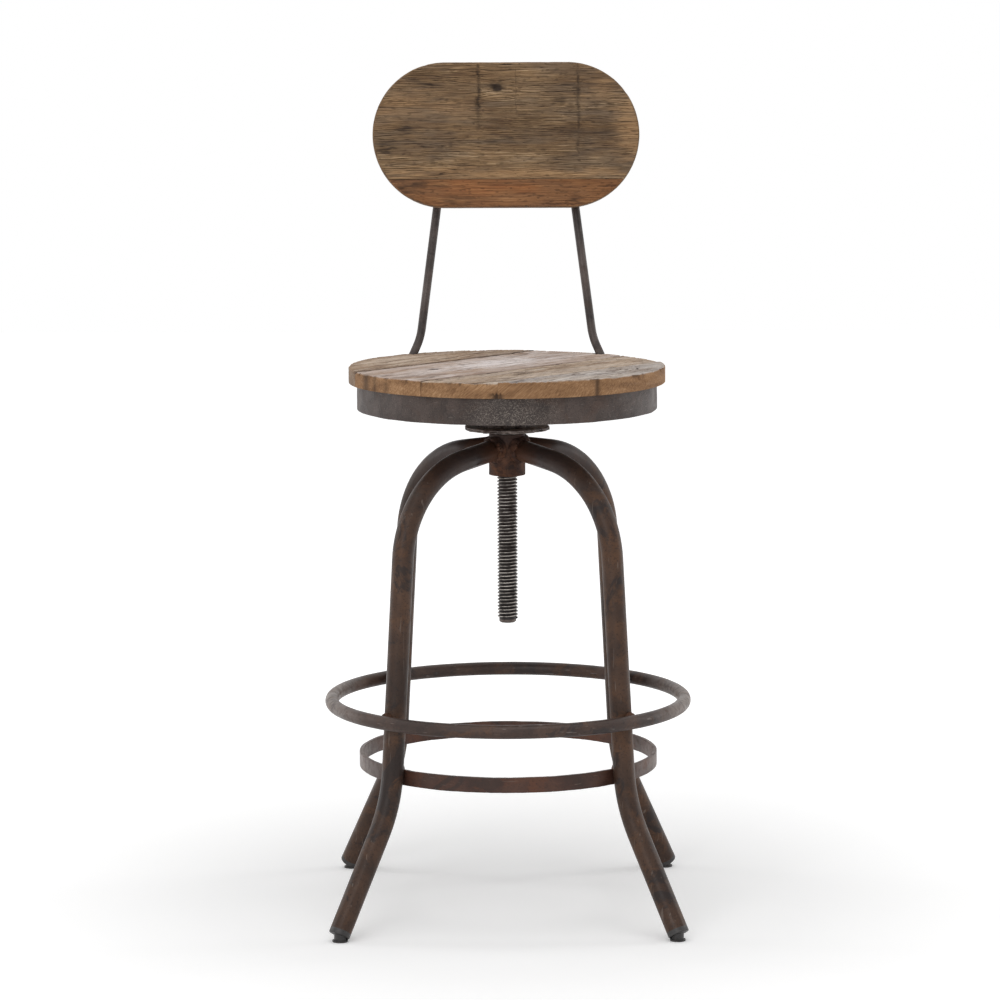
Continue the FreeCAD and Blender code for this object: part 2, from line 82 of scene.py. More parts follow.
def softNoise(x, y, z, seed):
    x, y, z = (np.asarray(v, float) for v in np.broadcast_arrays(x, y, z))
    ix, iy, iz = (np.floor(v).astype(np.int64) for v in (x, y, z))
    tx, ty, tz = x - ix, y - iy, z - iz
    tx, ty, tz = (t * t * t * (t * (t * 6 - 15) + 10) for t in (tx, ty, tz))
    total = np.zeros(x.shape)
    for dx in (0, 1):
        for dy in (0, 1):
            for dz in (0, 1):
                share = (tx if dx else 1 - tx) * (ty if dy else 1 - ty) * (tz if dz else 1 - tz)
                total += share * latticeValue(ix + dx, iy + dy, iz + dz, seed)
    return total


def layeredNoise(x, y, z, seed, layers=3):
    total, weight, size = 0, 0, 1.0
    for layer in range(layers):
        total = total + size * softNoise(x / size, y / size, z / size, seed + layer)
        weight += size
        size *= 0.5
    return total / weight


def smoothStep(value, start, end):
    t = np.clip((value - start) / (end - start), 0, 1)
    return t * t * (3 - 2 * t)


# meshes
sharpAngle = 55.0
grainShift = (0.37, 0.11, 0)  # how far a board's seed moves its grain


def meshPiece(name, points, faces, body, standsFor, fields=None):
    mesh = bpy.data.meshes.new(name)
    mesh.from_pydata(np.asarray(points).tolist(), [], [list(map(int, face)) for face in faces])
    mesh.polygons.foreach_set("use_smooth", [True] * len(mesh.polygons))
    for field, values in (fields or {}).items():
        values = np.asarray(values, np.float32)
        if values.ndim == 2:
            mesh.attributes.new(field, "FLOAT_VECTOR", "POINT").data.foreach_set("vector", values.ravel())
        else:
            mesh.attributes.new(field, "FLOAT", "POINT").data.foreach_set("value", values)
    mesh.validate()
    mesh.set_sharp_from_angle(angle=math.radians(sharpAngle))
    piece = bpy.data.objects.new(name, mesh)
    scene.collection.objects.link(piece)
    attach(piece, body)
    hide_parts(*standsFor)
    return piece


def gridFaces(rows, columns, start, flip):
    j, i = np.mgrid[0:rows - 1, 0:columns - 1]
    corner = start + j * columns + i
    quads = np.stack([corner, corner + 1, corner + columns + 1, corner + columns], -1).reshape(-1, 4)
    return (quads[:, ::-1] if flip else quads).tolist()


def loopFaces(first, second):
    # quads between two closed loops of point numbers
    return [
        [first[k], first[k - 1], second[k - 1], second[k]]
        for k in range(len(first))
    ]


def spanAlong(nodeNames, direction):
    # lowest and highest place of the nodes along a direction
    low, high = 1e9, -1e9
    for name in nodeNames:
        mesh = nodes[name].data
        places = np.zeros(len(mesh.vertices) * 3, np.float32)
        mesh.vertices.foreach_get("co", places)
        along = places.reshape(-1, 3) @ np.asarray(direction)
        low, high = min(low, along.min()), max(high, along.max())
    return float(low), float(high)


# wood boards
fineStart, fineGrowth = 0.00003, 0.12  # first step at an end that closes in a curve, and how steps grow from it
faceCeiling = 0.0002  # no ridge stands further out of a board's face
endWidth = 0.00002  # half the width of a board's last row where its outline closes


def boardRows(low, high, step, fineLow, fineHigh):
    # places across a board, crowded at an end where its outline closes in a curve
    def grow(length, fine):
        places, at = [0.0], 0.0
        while at < length:
            at += min(step, fineStart + fineGrowth * at) if fine else step
            places.append(at)
        return np.array([p for p in places if p < length])
    middle = (low + high) / 2
    lower = low + grow(middle - low, fineLow)
    upper = high - grow(high - middle, fineHigh)
    return np.concatenate([lower, upper[::-1]])


def seamedRows(first, last, seams, step, edge):
    # a row at an outline that closes in a curve keeps a hair's width
    ends = [edge["seamRound"] - edge["seamFill"] if seam else edge["round"] + endWidth for seam in seams]
    return boardRows(first + ends[0], last - ends[1], step, not seams[0], not seams[1])


# what all boards share; a board's own values are put over these
# knots are (along, across, size, dark, hollow), stains (along, across, long, wide, dark) and
# pales (along, across, long, wide, share), all in metres along and across the grain
# splits run along the grain (across, from, to, width, depth, dark) and cracks run across it
# (along, from, to, width, depth, dark, wander), with width, depth and wander in millimetres
# rimCracks are (along, across, width in millimetres, depth, dark, start, stop), the last two down the edge
# furrow is (long, apart, wide, deep, dark, lip), ridge (length, width, depth) in millimetres
# grey, hair and groove are (tone, share), paleTones (low, high)
boardLook = {
    "proud": 0.0, "wander": 5.0, "swell": 0.45, "tears": 0.5, "lineWidth": 0.55, "furrow": None,
    "knots": (), "stains": (), "pales": (), "splits": (), "cracks": (), "rimCracks": (),
    "chipReach": 0.0014, "chipFade": 0.002, "seamDark": 0.85,
    "paleTones": None, "rough": (0.6, 0.9), "bump": 0.8,
}
rimWidth = 0.005  # a board that ends further than this from the outline has a seam there


def spotFar(along, across, spot):
    # how far each place is from the middle of an oval spot, whose outline is at 1
    return np.hypot((along - spot[0] * mm) / (spot[2] * mm), (across - spot[1] * mm) / (spot[3] * mm))


def weatheredFace(a, b, look):
    # height, groove, dark mark and pale place of an old planed board, along and across its grain
    along, across, seed = a * mm, b * mm, look["seed"]

    def grain(long, wide, level, shift, layers=3, lane=across):
        # noise with shapes of so many millimetres along the grain and across it
        return layeredNoise(along / long, lane / wide, level, seed + shift, layers)
    bend = look["wander"] * grain(190, 70, 0, 0)
    mark, sink, pale = (np.zeros(along.shape) for field in range(3))
    for knotAlong, knotAcross, size, dark, hollow in look["knots"]:
        pastAlong, pastAcross, size = along - knotAlong * mm, across - knotAcross * mm, size * mm
        far = np.hypot(pastAlong / (1.2 * size), pastAcross / size)
        bend = bend + np.tanh(pastAcross / (0.6 * size)) * size * 0.45 * np.exp(-(far / 1.6) ** 2)
        rough = far + 0.3 * softNoise(along / 3.4, across / 2.6, 3, seed)
        core = 1 - smoothStep(rough, 0.25, 1.1)
        if hollow:
            # only a dark crescent is left round a knot that has worn away
            core = np.exp(-((rough - 0.85) / 0.16) ** 2)
            core = core * smoothStep(pastAlong * -0.5 - pastAcross, -0.6 * size, 0.5 * size)
        mark = np.maximum(mark, dark * core)
        sink = sink + 0.35 * (1 - smoothStep(rough, 0.3, 1.0))
    for stain in look["stains"]:
        patchy = spotFar(along, across, stain) + 0.7 * grain(14, 4, 8, 12)
        streaky = 0.3 + 0.7 * smoothStep(grain(9, 1.7, 4, 13, 2), -0.35, 0.3)
        mark = np.maximum(mark, stain[4] * streaky * (1 - smoothStep(patchy, 0.2, 1.2)))
    for place in look["pales"]:
        patchy = spotFar(along, across, place) + 0.9 * grain(26, 3.5, 8, 16)
        pale = np.maximum(pale, place[4] * (1 - smoothStep(patchy, 0.1, 1.5)))
    lane = across + bend
    if look["furrow"]:
        # long wandering furrows, dark inside and pale along one lip
        long, apart, wide, deep, dark, lipShare = look["furrow"]
        level = grain(long, apart, 21, 30, 3, lane)
        worn = smoothStep(grain(45, 12, 22, 31, 2, lane), -0.3, 0.25)
        trench = (1 - smoothStep(np.abs(level), 0.02, wide)) * worn
        lip = smoothStep(level, 0.6 * wide, 1.3 * wide) * (1 - smoothStep(level, 1.3 * wide, 3 * wide))
        sink = sink + deep * trench - 0.3 * deep * lip * worn
        mark = np.maximum(mark, dark * trench)
        pale = np.maximum(pale, lipShare * lip * worn)
    # growth lines at a nearly even spacing, broken into dashes and stronger in places
    length, width, depth = look["ridge"]
    phase = lane / width + 1.1 * grain(110, 9, 7, 0, 2, lane)
    phase = phase + 0.35 * softNoise(along / 18, lane / 2.5, 12, seed)
    line = 1 - smoothStep(np.abs(np.sin(math.pi * phase)), 0.08, look["lineWidth"])
    dashes = smoothStep(softNoise(along / length, lane / (0.7 * width), 11, seed), -0.4, 0.3)
    strength = smoothStep(grain(90, 26, 5, 2), -0.4, 0.3)
    groove = line * (0.3 + 0.7 * dashes) * (0.5 + 0.5 * strength)
    height = -depth * groove + 0.2 * depth * np.sin(2 * math.pi * phase)
    height = height + look["swell"] * grain(70, 24, 1, 4, 2)
    tear = smoothStep(grain(5.5, 2.2, 15, 14, 2), 0.34, 0.62) * look["tears"]
    height = height - 0.5 * tear
    mark = np.maximum(mark, 0.6 * tear)
    for middle, start, end, width, depth, dark, wander in look["cracks"]:
        at = middle * mm + wander * layeredNoise(across / 14, 0, 2, seed + 6, 2)
        at = at + 0.45 * softNoise(across / 2.6, 0, 5, seed + 17)
        inside = smoothStep(across, start * mm - 3, start * mm + 3)
        inside = inside * (1 - smoothStep(across, end * mm - 5, end * mm + 3))
        broken = 0.85 + 0.5 * softNoise(along / 9, across / 5, 9, seed)
        wide = width * (1 + 0.6 * layeredNoise(across / 6, 0, 3, seed + 7, 2))
        line = np.exp(-((along - at) / wide) ** 2) * inside * np.clip(broken, 0, 1)
        height = height - depth * line
        mark = np.maximum(mark, dark * line)
    for middle, start, end, width, depth, dark in look["splits"]:
        at = middle * mm + 1.2 * layeredNoise(along / 22, 0, 4, seed + 8, 3)
        inside = smoothStep(along, start * mm, start * mm + 9)
        inside = inside * (1 - smoothStep(along, end * mm - 9, end * mm))
        wide = width * (0.75 + 0.5 * layeredNoise(along / 15, 0, 6, seed + 10, 2))
        line = np.exp(-((across - at) / wide) ** 2) * inside
        height = height - depth * line
        mark = np.maximum(mark, dark * line)
    return (height - sink) / mm, groove, mark, pale


def alongPlaces(reach, share, cracks):
    # places along each row, closer together at the cracks that run across the grain
    fine = np.linspace(-1, 1, 900)[None, :] * reach[:, None]
    crowd = np.ones(fine.shape)
    for crack in cracks:
        crowd += 4 * np.exp(-((fine - crack[0]) / 0.005) ** 2)
    total = np.cumsum(crowd, 1)
    total = (total - total[:, :1]) / (total[:, -1:] - total[:, :1])
    return np.array([np.interp(share, at, place) for at, place in zip(total, fine)])


def edgeWays(row, column, shape, endNormals, seams, edge):
    # where the rounding takes each point of the rim, which way is out, and whether it lies at a seam
    atEnd = (column == 0) | (column == shape[1] - 1)
    atLow, atHigh = row == 0, row == shape[0] - 1
    side = np.where(column == 0, -1.0, 1.0)
    endWay = np.stack([endNormals[row, 0] * side, endNormals[row, 1]], 1) * edge["round"]
    acrossWay = np.zeros((len(row), 2))
    lowRound, highRound = (edge["seamRound"] if seam else edge["round"] for seam in seams)
    acrossWay[atLow, 1], acrossWay[atHigh, 1] = -lowRound, highRound
    closing = (atLow & (not seams[0])) | (atHigh & (not seams[1]))
    # a corner at a seam slides along the outline, so that neighbours meet in one line
    atCorner = atEnd & ~closing & (atLow | atHigh)
    slope = endWay[:, 1] / np.where(atCorner, endWay[:, 0], 1.0)
    away = np.where(atEnd[:, None], endWay, 0) + np.where((atEnd & closing)[:, None], 0, acrossWay)
    away[:, 0] += np.where(atCorner, -acrossWay[:, 1] * slope, 0.0)
    out = np.where(atCorner[:, None], endWay, away)
    out = out / np.maximum(np.linalg.norm(out, axis=1), tiny)[:, None]
    return away, out, ((atLow & seams[0]) | (atHigh & seams[1])) & ~atEnd


def edgeRings(flat, level, ways, thickness, edge, look):
    # points, mark and sawn of each ring down the edge: its upper rounding, its wall and its lower rounding
    away, out, atSeam = ways
    x, y = flat[:, 0] * mm, flat[:, 1] * mm
    # one seed for all boards, so that an edge runs on from one board to the next
    seed = edge["seed"]
    chip = np.clip(layeredNoise(x / 8, y / 8, 6, seed, 3) - edge["chipFrom"], 0, 1) * edge["chip"]
    topRound = np.where(atSeam, edge["seamRound"], edge["round"])
    topRound = topRound * (1 + 0.9 * layeredNoise(x / 12, y / 12, 8, seed + 1, 3))
    steps = [(math.sin(t), 1 - math.cos(t)) for t in np.linspace(0, math.pi / 2, 6)[1:]]
    depths = np.linspace(0, 1, edge["wallRows"])[1:-1]
    levels = [("top", s) for s in steps] + [("wall", d) for d in depths] + [("low", s) for s in steps[::-1]]
    rings = []
    for kind, value in levels:
        spread, inset, sawn = 1.0, 0.0, 1.0
        if kind == "top":
            spread, down, sawn = value[0], topRound * value[1], smoothStep(value[0], 0.35, 1.0)
        elif kind == "wall":
            down = topRound + (thickness - topRound - edge["lowRound"]) * value
        else:
            down = np.full(len(x), thickness - edge["lowRound"] * value[1])
            inset = edge["lowRound"] * (1 - value[0])
        near = np.exp(-(down / (look["chipReach"] + 1.6 * chip)) ** 2)
        cut, cutDark = np.zeros(len(x)), np.zeros(len(x))
        for crackAlong, crackAcross, width, deep, dark, start, stop in look["rimCracks"]:
            # a crack may begin or end part of the way down the edge
            far = np.hypot(x - crackAlong * mm, y - crackAcross * mm)
            depth = down / thickness + 0.12 * softNoise(x / 1.3, y / 1.3, 2, seed + 3)
            here = np.exp(-(far / width) ** 2) * smoothStep(depth, start - 0.06, start + 0.06)
            here = here * (1 - smoothStep(depth, stop - 0.1, stop + 0.1))
            cut, cutDark = np.maximum(cut, deep * here), np.maximum(cutDark, dark * here)
        rough = edge["sawing"] * layeredNoise(x / 5, y / 5, down * mm / 2.5, seed + 2, 3)
        rough = np.where(atSeam, 0, rough) - inset - chip * near - cut * (0.5 if kind == "top" else 1.0)
        ring = flat + away * spread + out * rough[:, None]
        chipDark = np.clip(chip * near / look["chipFade"], 0, 0.5)
        rings.append((
            np.column_stack([ring, level * np.exp(-down / look["chipFade"]) - down]),
            np.where(atSeam, look["seamDark"], np.maximum(chipDark, cutDark)),
            np.full(len(x), sawn),
        ))
    return rings


def rearFaces(rim, rows, columns, width, last, base):
    # faces between the last ring and a rear face that has only some of the rows and columns
    kept = [k for k, point in enumerate(rim) if point // width in rows and point % width in columns]
    rear = [base + rows.index(rim[k] // width) * len(columns) + columns.index(rim[k] % width) for k in kept]
    faces = []
    for k, q in enumerate(kept):
        before = kept[k - 1]
        between = list(range(before, q + 1)) if k else list(range(before, len(rim))) + [0]
        faces.append([last[j] for j in reversed(between)] + [rear[k - 1], rear[k]])
    return faces


def boardShape(rows, reach, endNormals, seams, columns, thickness, edge, look, back=None):
    # points (along, across, out), faces and fields of one board, whose front face is at out = 0
    # seams says whether the first and the last row lie at a seam with a neighbour
    def facePart(a, b, out, groove, mark, pale):
        points = np.stack([a.ravel(), b.ravel(), out.ravel()], 1)
        return points, groove.ravel(), mark.ravel(), np.zeros(a.size), pale.ravel()
    count = len(rows)
    share = np.linspace(0, 1, columns)
    share = share + edge["crowd"] * np.sin(2 * math.pi * share) / (2 * math.pi)
    a = alongPlaces(reach, share, look["cracks"])
    b = np.repeat(rows[:, None], columns, 1)
    height, *marks = weatheredFace(a, b, look)
    parts = [facePart(a, b, np.minimum(height, faceCeiling), *marks)]
    faces = gridFaces(count, columns, 0, False)
    index = np.arange(count * columns).reshape(count, columns)
    rim = np.concatenate([index[0, :], index[1:, -1], index[-1, -2::-1], index[-2:0:-1, 0]])
    front = parts[0][0][rim]
    ways = edgeWays(rim // columns, rim % columns, (count, columns), endNormals, seams, edge)
    none = np.zeros(len(rim))
    last, base = rim.tolist(), count * columns
    for points, mark, sawn in edgeRings(front[:, :2], front[:, 2], ways, thickness, edge, look):
        parts.append((points, none, mark, sawn, none))
        loop = list(range(base, base + len(rim)))
        faces += loopFaces(last, loop)
        last, base = loop, base + len(rim)
    if back is None:
        faces.append(last[::-1])
    else:
        # the rear face has every second row and column
        keptRows = sorted({*range(0, count, 2), count - 1})
        keptColumns = sorted({*range(0, columns, 2), columns - 1})
        a, b = a[np.ix_(keptRows, keptColumns)], b[np.ix_(keptRows, keptColumns)]
        height, *marks = weatheredFace(a, b, back)
        parts.append(facePart(a, b, -thickness - height, *marks))
        faces += gridFaces(len(keptRows), len(keptColumns), base, True)
        faces += rearFaces(rim.tolist(), keptRows, keptColumns, columns, last, base)
    points, *fields = (np.concatenate(part) for part in zip(*parts))
    fields = dict(zip(("groove", "mark", "sawn", "pale"), fields))
    return points, faces, {"grainPlace": points + look["seed"] * np.array(grainShift), **fields}


# node materials
def shaderTree(name):
    material = bpy.data.materials.new(name)
    material.use_nodes = True
    tree = material.node_tree
    shader = tree.nodes["Principled BSDF"]
    return material, tree, shader


def addNode(tree, kind, settings=None, inputs=None):
    node = tree.nodes.new(kind)
    for key, value in (settings or {}).items():
        setattr(node, key, value)
    for key, value in (inputs or {}).items():
        if isinstance(value, bpy.types.NodeSocket):
            tree.links.new(value, node.inputs[key])
        else:
            node.inputs[key].default_value = value
    return node


def objectPlace(tree):
    return addNode(tree, "ShaderNodeTexCoord").outputs["Object"]


def stretched(tree, vector, scale):
    node = addNode(tree, "ShaderNodeMapping", {"vector_type": "POINT"}, {"Vector": vector, "Scale": scale})
    return node.outputs["Vector"]


def noiseValue(tree, vector, scale, detail=3.0, roughness=0.55, distortion=0.0):
    inputs = {"Vector": vector, "Scale": scale, "Detail": detail}
    inputs.update({"Roughness": roughness, "Distortion": distortion})
    return addNode(tree, "ShaderNodeTexNoise", None, inputs).outputs["Fac"]


def rampValue(tree, factor, start, end, low=0.0, high=1.0):
    inputs = {"Value": factor, "From Min": start, "From Max": end, "To Min": low, "To Max": high}
    return addNode(tree, "ShaderNodeMapRange", {"clamp": True}, inputs).outputs["Result"]


def linearTone(tone):
    # tones are written 0 to 255, as a paint chart gives them
    return tuple((c / 255 / 12.92) if c <= 10 else ((c / 255 + 0.055) / 1.055) ** 2.4 for c in tone)


def rampTones(tree, factor, stops, tones):
    node = addNode(tree, "ShaderNodeValToRGB", None, {"Fac": factor})
    elements = node.color_ramp.elements
    while len(elements) < len(tones):
        elements.new(0.5)
    for element, stop, tone in zip(elements, stops, tones):
        element.position = stop
        element.color = (*linearTone(tone), 1)
    return node.outputs["Color"]


def mixTone(tree, factor, first, second):
    node = addNode(tree, "ShaderNodeMix", {"data_type": "RGBA"})
    for socket, value in ((node.inputs[0], factor), (node.inputs[6], first), (node.inputs[7], second)):
        if isinstance(value, bpy.types.NodeSocket):
            tree.links.new(value, socket)
        else:
            socket.default_value = (*linearTone(value), 1)
    return node.outputs[2]


def overlay(tree, under, layer, factor, start, end):
    # a layer, given as tone and share, over a tone where the factor has passed from start to end
    return mixTone(tree, rampValue(tree, factor, start, end, 0.0, layer[1]), under, layer[0])


def mathValue(tree, operation, first, second=0.0):
    return addNode(tree, "ShaderNodeMath", {"operation": operation}, {0: first, 1: second}).outputs[0]


def sumOf(tree, *parts):
    # the sum of values, each with its share
    total = None
    for value, share in parts:
        value = value if share == 1 else mathValue(tree, "MULTIPLY", value, share)
        total = mathValue(tree, "ADD", total, value) if total else value
    return total


def vectorMath(tree, operation, first, second=(0, 0, 0), output="Value"):
    inputs = {0: first, 1: second}
    return addNode(tree, "ShaderNodeVectorMath", {"operation": operation}, inputs).outputs[output]


def raggedDistance(tree, place, centre, noise, ragged):
    # distance from a point, made uneven by a noise
    apart = vectorMath(tree, "DISTANCE", place, centre)
    return mathValue(tree, "ADD", apart, rampValue(tree, noise, 0.3, 0.7, -ragged, ragged))


def fieldValue(tree, name, output="Fac"):
    return addNode(tree, "ShaderNodeAttribute", {"attribute_name": name}).outputs[output]


def joinShader(tree, shader, look, tone, wear, relief=(), reliefDepth=0.0004):
    # wear is the value that the roughness follows, with the two places where it begins and ends
    tree.links.new(tone, shader.inputs["Base Color"])
    tree.links.new(rampValue(tree, *wear, *look["rough"]), shader.inputs["Roughness"])
    for key, name in (("metal", "Metallic"), ("shine", "Specular IOR Level")):
        if key in look:
            shader.inputs[name].default_value = look[key]
    if relief:
        inputs = {"Strength": look["bump"], "Distance": reliefDepth, "Height": sumOf(tree, *relief)}
        bump = addNode(tree, "ShaderNodeBump", None, inputs)
        tree.links.new(bump.outputs["Normal"], shader.inputs["Normal"])


def woodFinish(name, look):
    material, tree, shader = shaderTree(name)
    place = fieldValue(tree, "grainPlace", "Vector")
    groove, mark, sawn = (fieldValue(tree, field) for field in ("groove", "mark", "sawn"))

    def grainNoise(scale, *shape):
        return noiseValue(tree, stretched(tree, place, scale), 1.0, *shape)
    broad = rampValue(tree, grainNoise((9, 34, 34), 4.0, 0.62, 0.5), 0.33, 0.67)
    streak = rampValue(tree, grainNoise((18, 460, 460), 4.0, 0.72, 0.1), 0.33, 0.67)
    hair = grainNoise((45, 1100, 1100), 3.0, 0.7)
    blot = grainNoise((9, 48, 48), 4.0, 0.65, 0.4)
    # the fine streaks carry the face to its lightest tones: partly the grain's own pale lines, partly a painted
    # highlight of ridges catching the light
    face = rampTones(tree, sumOf(tree, (broad, 0.45), (streak, 0.55)), look["faceStops"], look["faceTones"])
    face = overlay(tree, face, look["grey"], blot, 0.42, 0.62)
    if look["paleTones"]:
        face = mixTone(tree, fieldValue(tree, "pale"), face, mixTone(tree, streak, *look["paleTones"]))
    face = overlay(tree, face, look["hair"], hair, 0.5, 0.68)
    face = overlay(tree, face, look["groove"], groove, 0.05, 0.8)
    # the sawn edge shows slanting saw lines over broad light and dark places
    slant = {"Vector": place, "Rotation": (0, -0.7, -0.86), "Scale": (0.03, 0.0015, 0.0015)}
    slant = addNode(tree, "ShaderNodeMapping", {"vector_type": "TEXTURE"}, slant).outputs["Vector"]
    sawLines = rampValue(tree, noiseValue(tree, slant, 1.0, 4.0, 0.7, 0.25), 0.34, 0.66)
    wide = rampValue(tree, grainNoise((14, 18, 60), 3.0, 0.6, 0.6), 0.34, 0.66)
    side = rampTones(tree, sumOf(tree, (sawLines, 0.55), (wide, 0.45)), sideStops, look["sideTones"])
    tone = mixTone(tree, mark, mixTone(tree, sawn, face, side), look["markTone"])
    joinShader(tree, shader, look, tone, (streak, 0.0, 1.0), ((streak, 0.4), (hair, 0.6)))
    return material


def steelFinish(name, look):
    # old steel under brown lacquer, with black patches, rust, scratches, and grey places that are partly worn
    # bare and partly a painted highlight
    material, tree, shader = shaderTree(name)
    place = objectPlace(tree)
    rustFrom, blackFrom = look["rust"][3], look["black"][3]
    patches = noiseValue(tree, place, look["patchScale"], 4.0, 0.6, 0.6)
    elsewhere = vectorMath(tree, "ADD", place, (5.2, 0.3, 2.2), "Vector")
    black = noiseValue(tree, elsewhere, look["black"][2], 6.0, 0.68, 1.0)
    elsewhere = vectorMath(tree, "ADD", place, (3.1, 1.7, 0.4), "Vector")
    rust = noiseValue(tree, elsewhere, look["rust"][2], 5.0, 0.68, 0.8)
    speck = noiseValue(tree, place, look["speck"][2], 3.0, 0.7)
    pits = noiseValue(tree, place, look["pit"][2], 2.0, 0.6)
    scratch = noiseValue(tree, stretched(tree, place, look["scratch"][2]), 1.0, 2.0, 0.5, 0.3)
    blackHere = rampValue(tree, black, blackFrom, blackFrom + 0.05, 0.0, look["black"][1])
    tone = rampTones(tree, rampValue(tree, patches, 0.34, 0.66), steelStops, look["tones"])
    tone = overlay(tree, tone, look["rust"], rust, rustFrom, rustFrom + 0.12)
    tone = mixTone(tree, blackHere, tone, look["black"][0])
    tone = overlay(tree, tone, look["speck"], speck, 0.58, 0.7)
    tone = overlay(tree, tone, look["pit"], pits, 0.44, 0.3)
    tone = overlay(tree, tone, look["scratch"], scratch, 0.66, 0.74)
    if "worn" in look:
        # lighter grey towards the left and right of the ring: partly rubbed bare, partly a painted highlight on
        # the ring's ends
        wornAndHighlightTone, share, start, end = look["worn"]
        sides = addNode(tree, "ShaderNodeSeparateXYZ", None, {"Vector": place}).outputs["X"]
        sides = rampValue(tree, mathValue(tree, "ABSOLUTE", sides), start, end)
        rubbedAndLit = mathValue(tree, "MULTIPLY", sides, rampValue(tree, speck, 0.34, 0.56, 0.1, share))
        tone = mixTone(tree, rubbedAndLit, tone, wornAndHighlightTone)
    for stain in look.get("stains", ()):
        centre, core, reach, ragged = stain[2:]
        dusty = raggedDistance(tree, place, centre, black, ragged)
        tone = overlay(tree, tone, stain, dusty, reach, core)
    if "frost" in look:
        # fine pale scratching over one place
        frostTone, share, centre, core, reach, ragged, scale = look["frost"]
        apart = raggedDistance(tree, place, centre, black, ragged)
        fine = rampValue(tree, noiseValue(tree, place, scale, 2.0, 0.6, 1.5), 0.52, 0.64)
        fine = mathValue(tree, "MULTIPLY", fine, rampValue(tree, apart, reach, core, 0.0, share))
        tone = mixTone(tree, fine, tone, frostTone)
    relief = ((pits, 0.4), (speck, 0.35), (blackHere, 0.25))
    joinShader(tree, shader, look, tone, (rust, 0.35, 0.65), relief, 0.0006)
    return material


def paintNode(name, material):
    mesh = nodes[name].data
    mesh.materials.clear()
    mesh.materials.append(material)


def addBoards(setup, boards, ways, radius, origin=0, centre=0, straight=0, trim=None):
    # ways are along the grain, across it and out of the face; rows are counted from the origin
    # the outline is two half circles round the centre row, with half of a straight run on each side
    alongWay, acrossWay, outWay = ways
    behind, front = spanAlong(boards, outWay)
    edge = setup["edge"]
    for name, own in boards.items():
        look = {**boardLook, **setup["board"], **own}
        first, last = (value - origin for value in spanAlong([name], acrossWay))
        seams = (first > centre - radius + rimWidth, last < centre + radius - rimWidth)
        rows = seamedRows(first, last, seams, setup["faceStep"], edge)
        bulge = np.sqrt(np.maximum((radius - edge["round"]) ** 2 - (rows - centre) ** 2, 0))
        normals = np.stack([bulge, rows - centre], 1) / np.hypot(bulge, rows - centre)[:, None]
        # old boards of different thickness stand a little proud of each other
        top = front + look["proud"]
        rear = {**boardLook, **setup["rear"], "seed": look["seed"] + 5} if "rear" in setup else None
        points, faces, fields = boardShape(
            rows, straight + bulge, normals, seams, setup["columns"], top - behind, edge, look, rear
        )
        world = points[:, :1] * alongWay + (points[:, 1:2] + origin) * acrossWay
        world = world + (points[:, 2:3] + top) * outWay
        if trim:
            trim(world, radius)
        piece = meshPiece(name + ".worn", world, faces, "seat", [name], fields)
        piece.data.materials.append(woodFinish(name + ".wood", look))


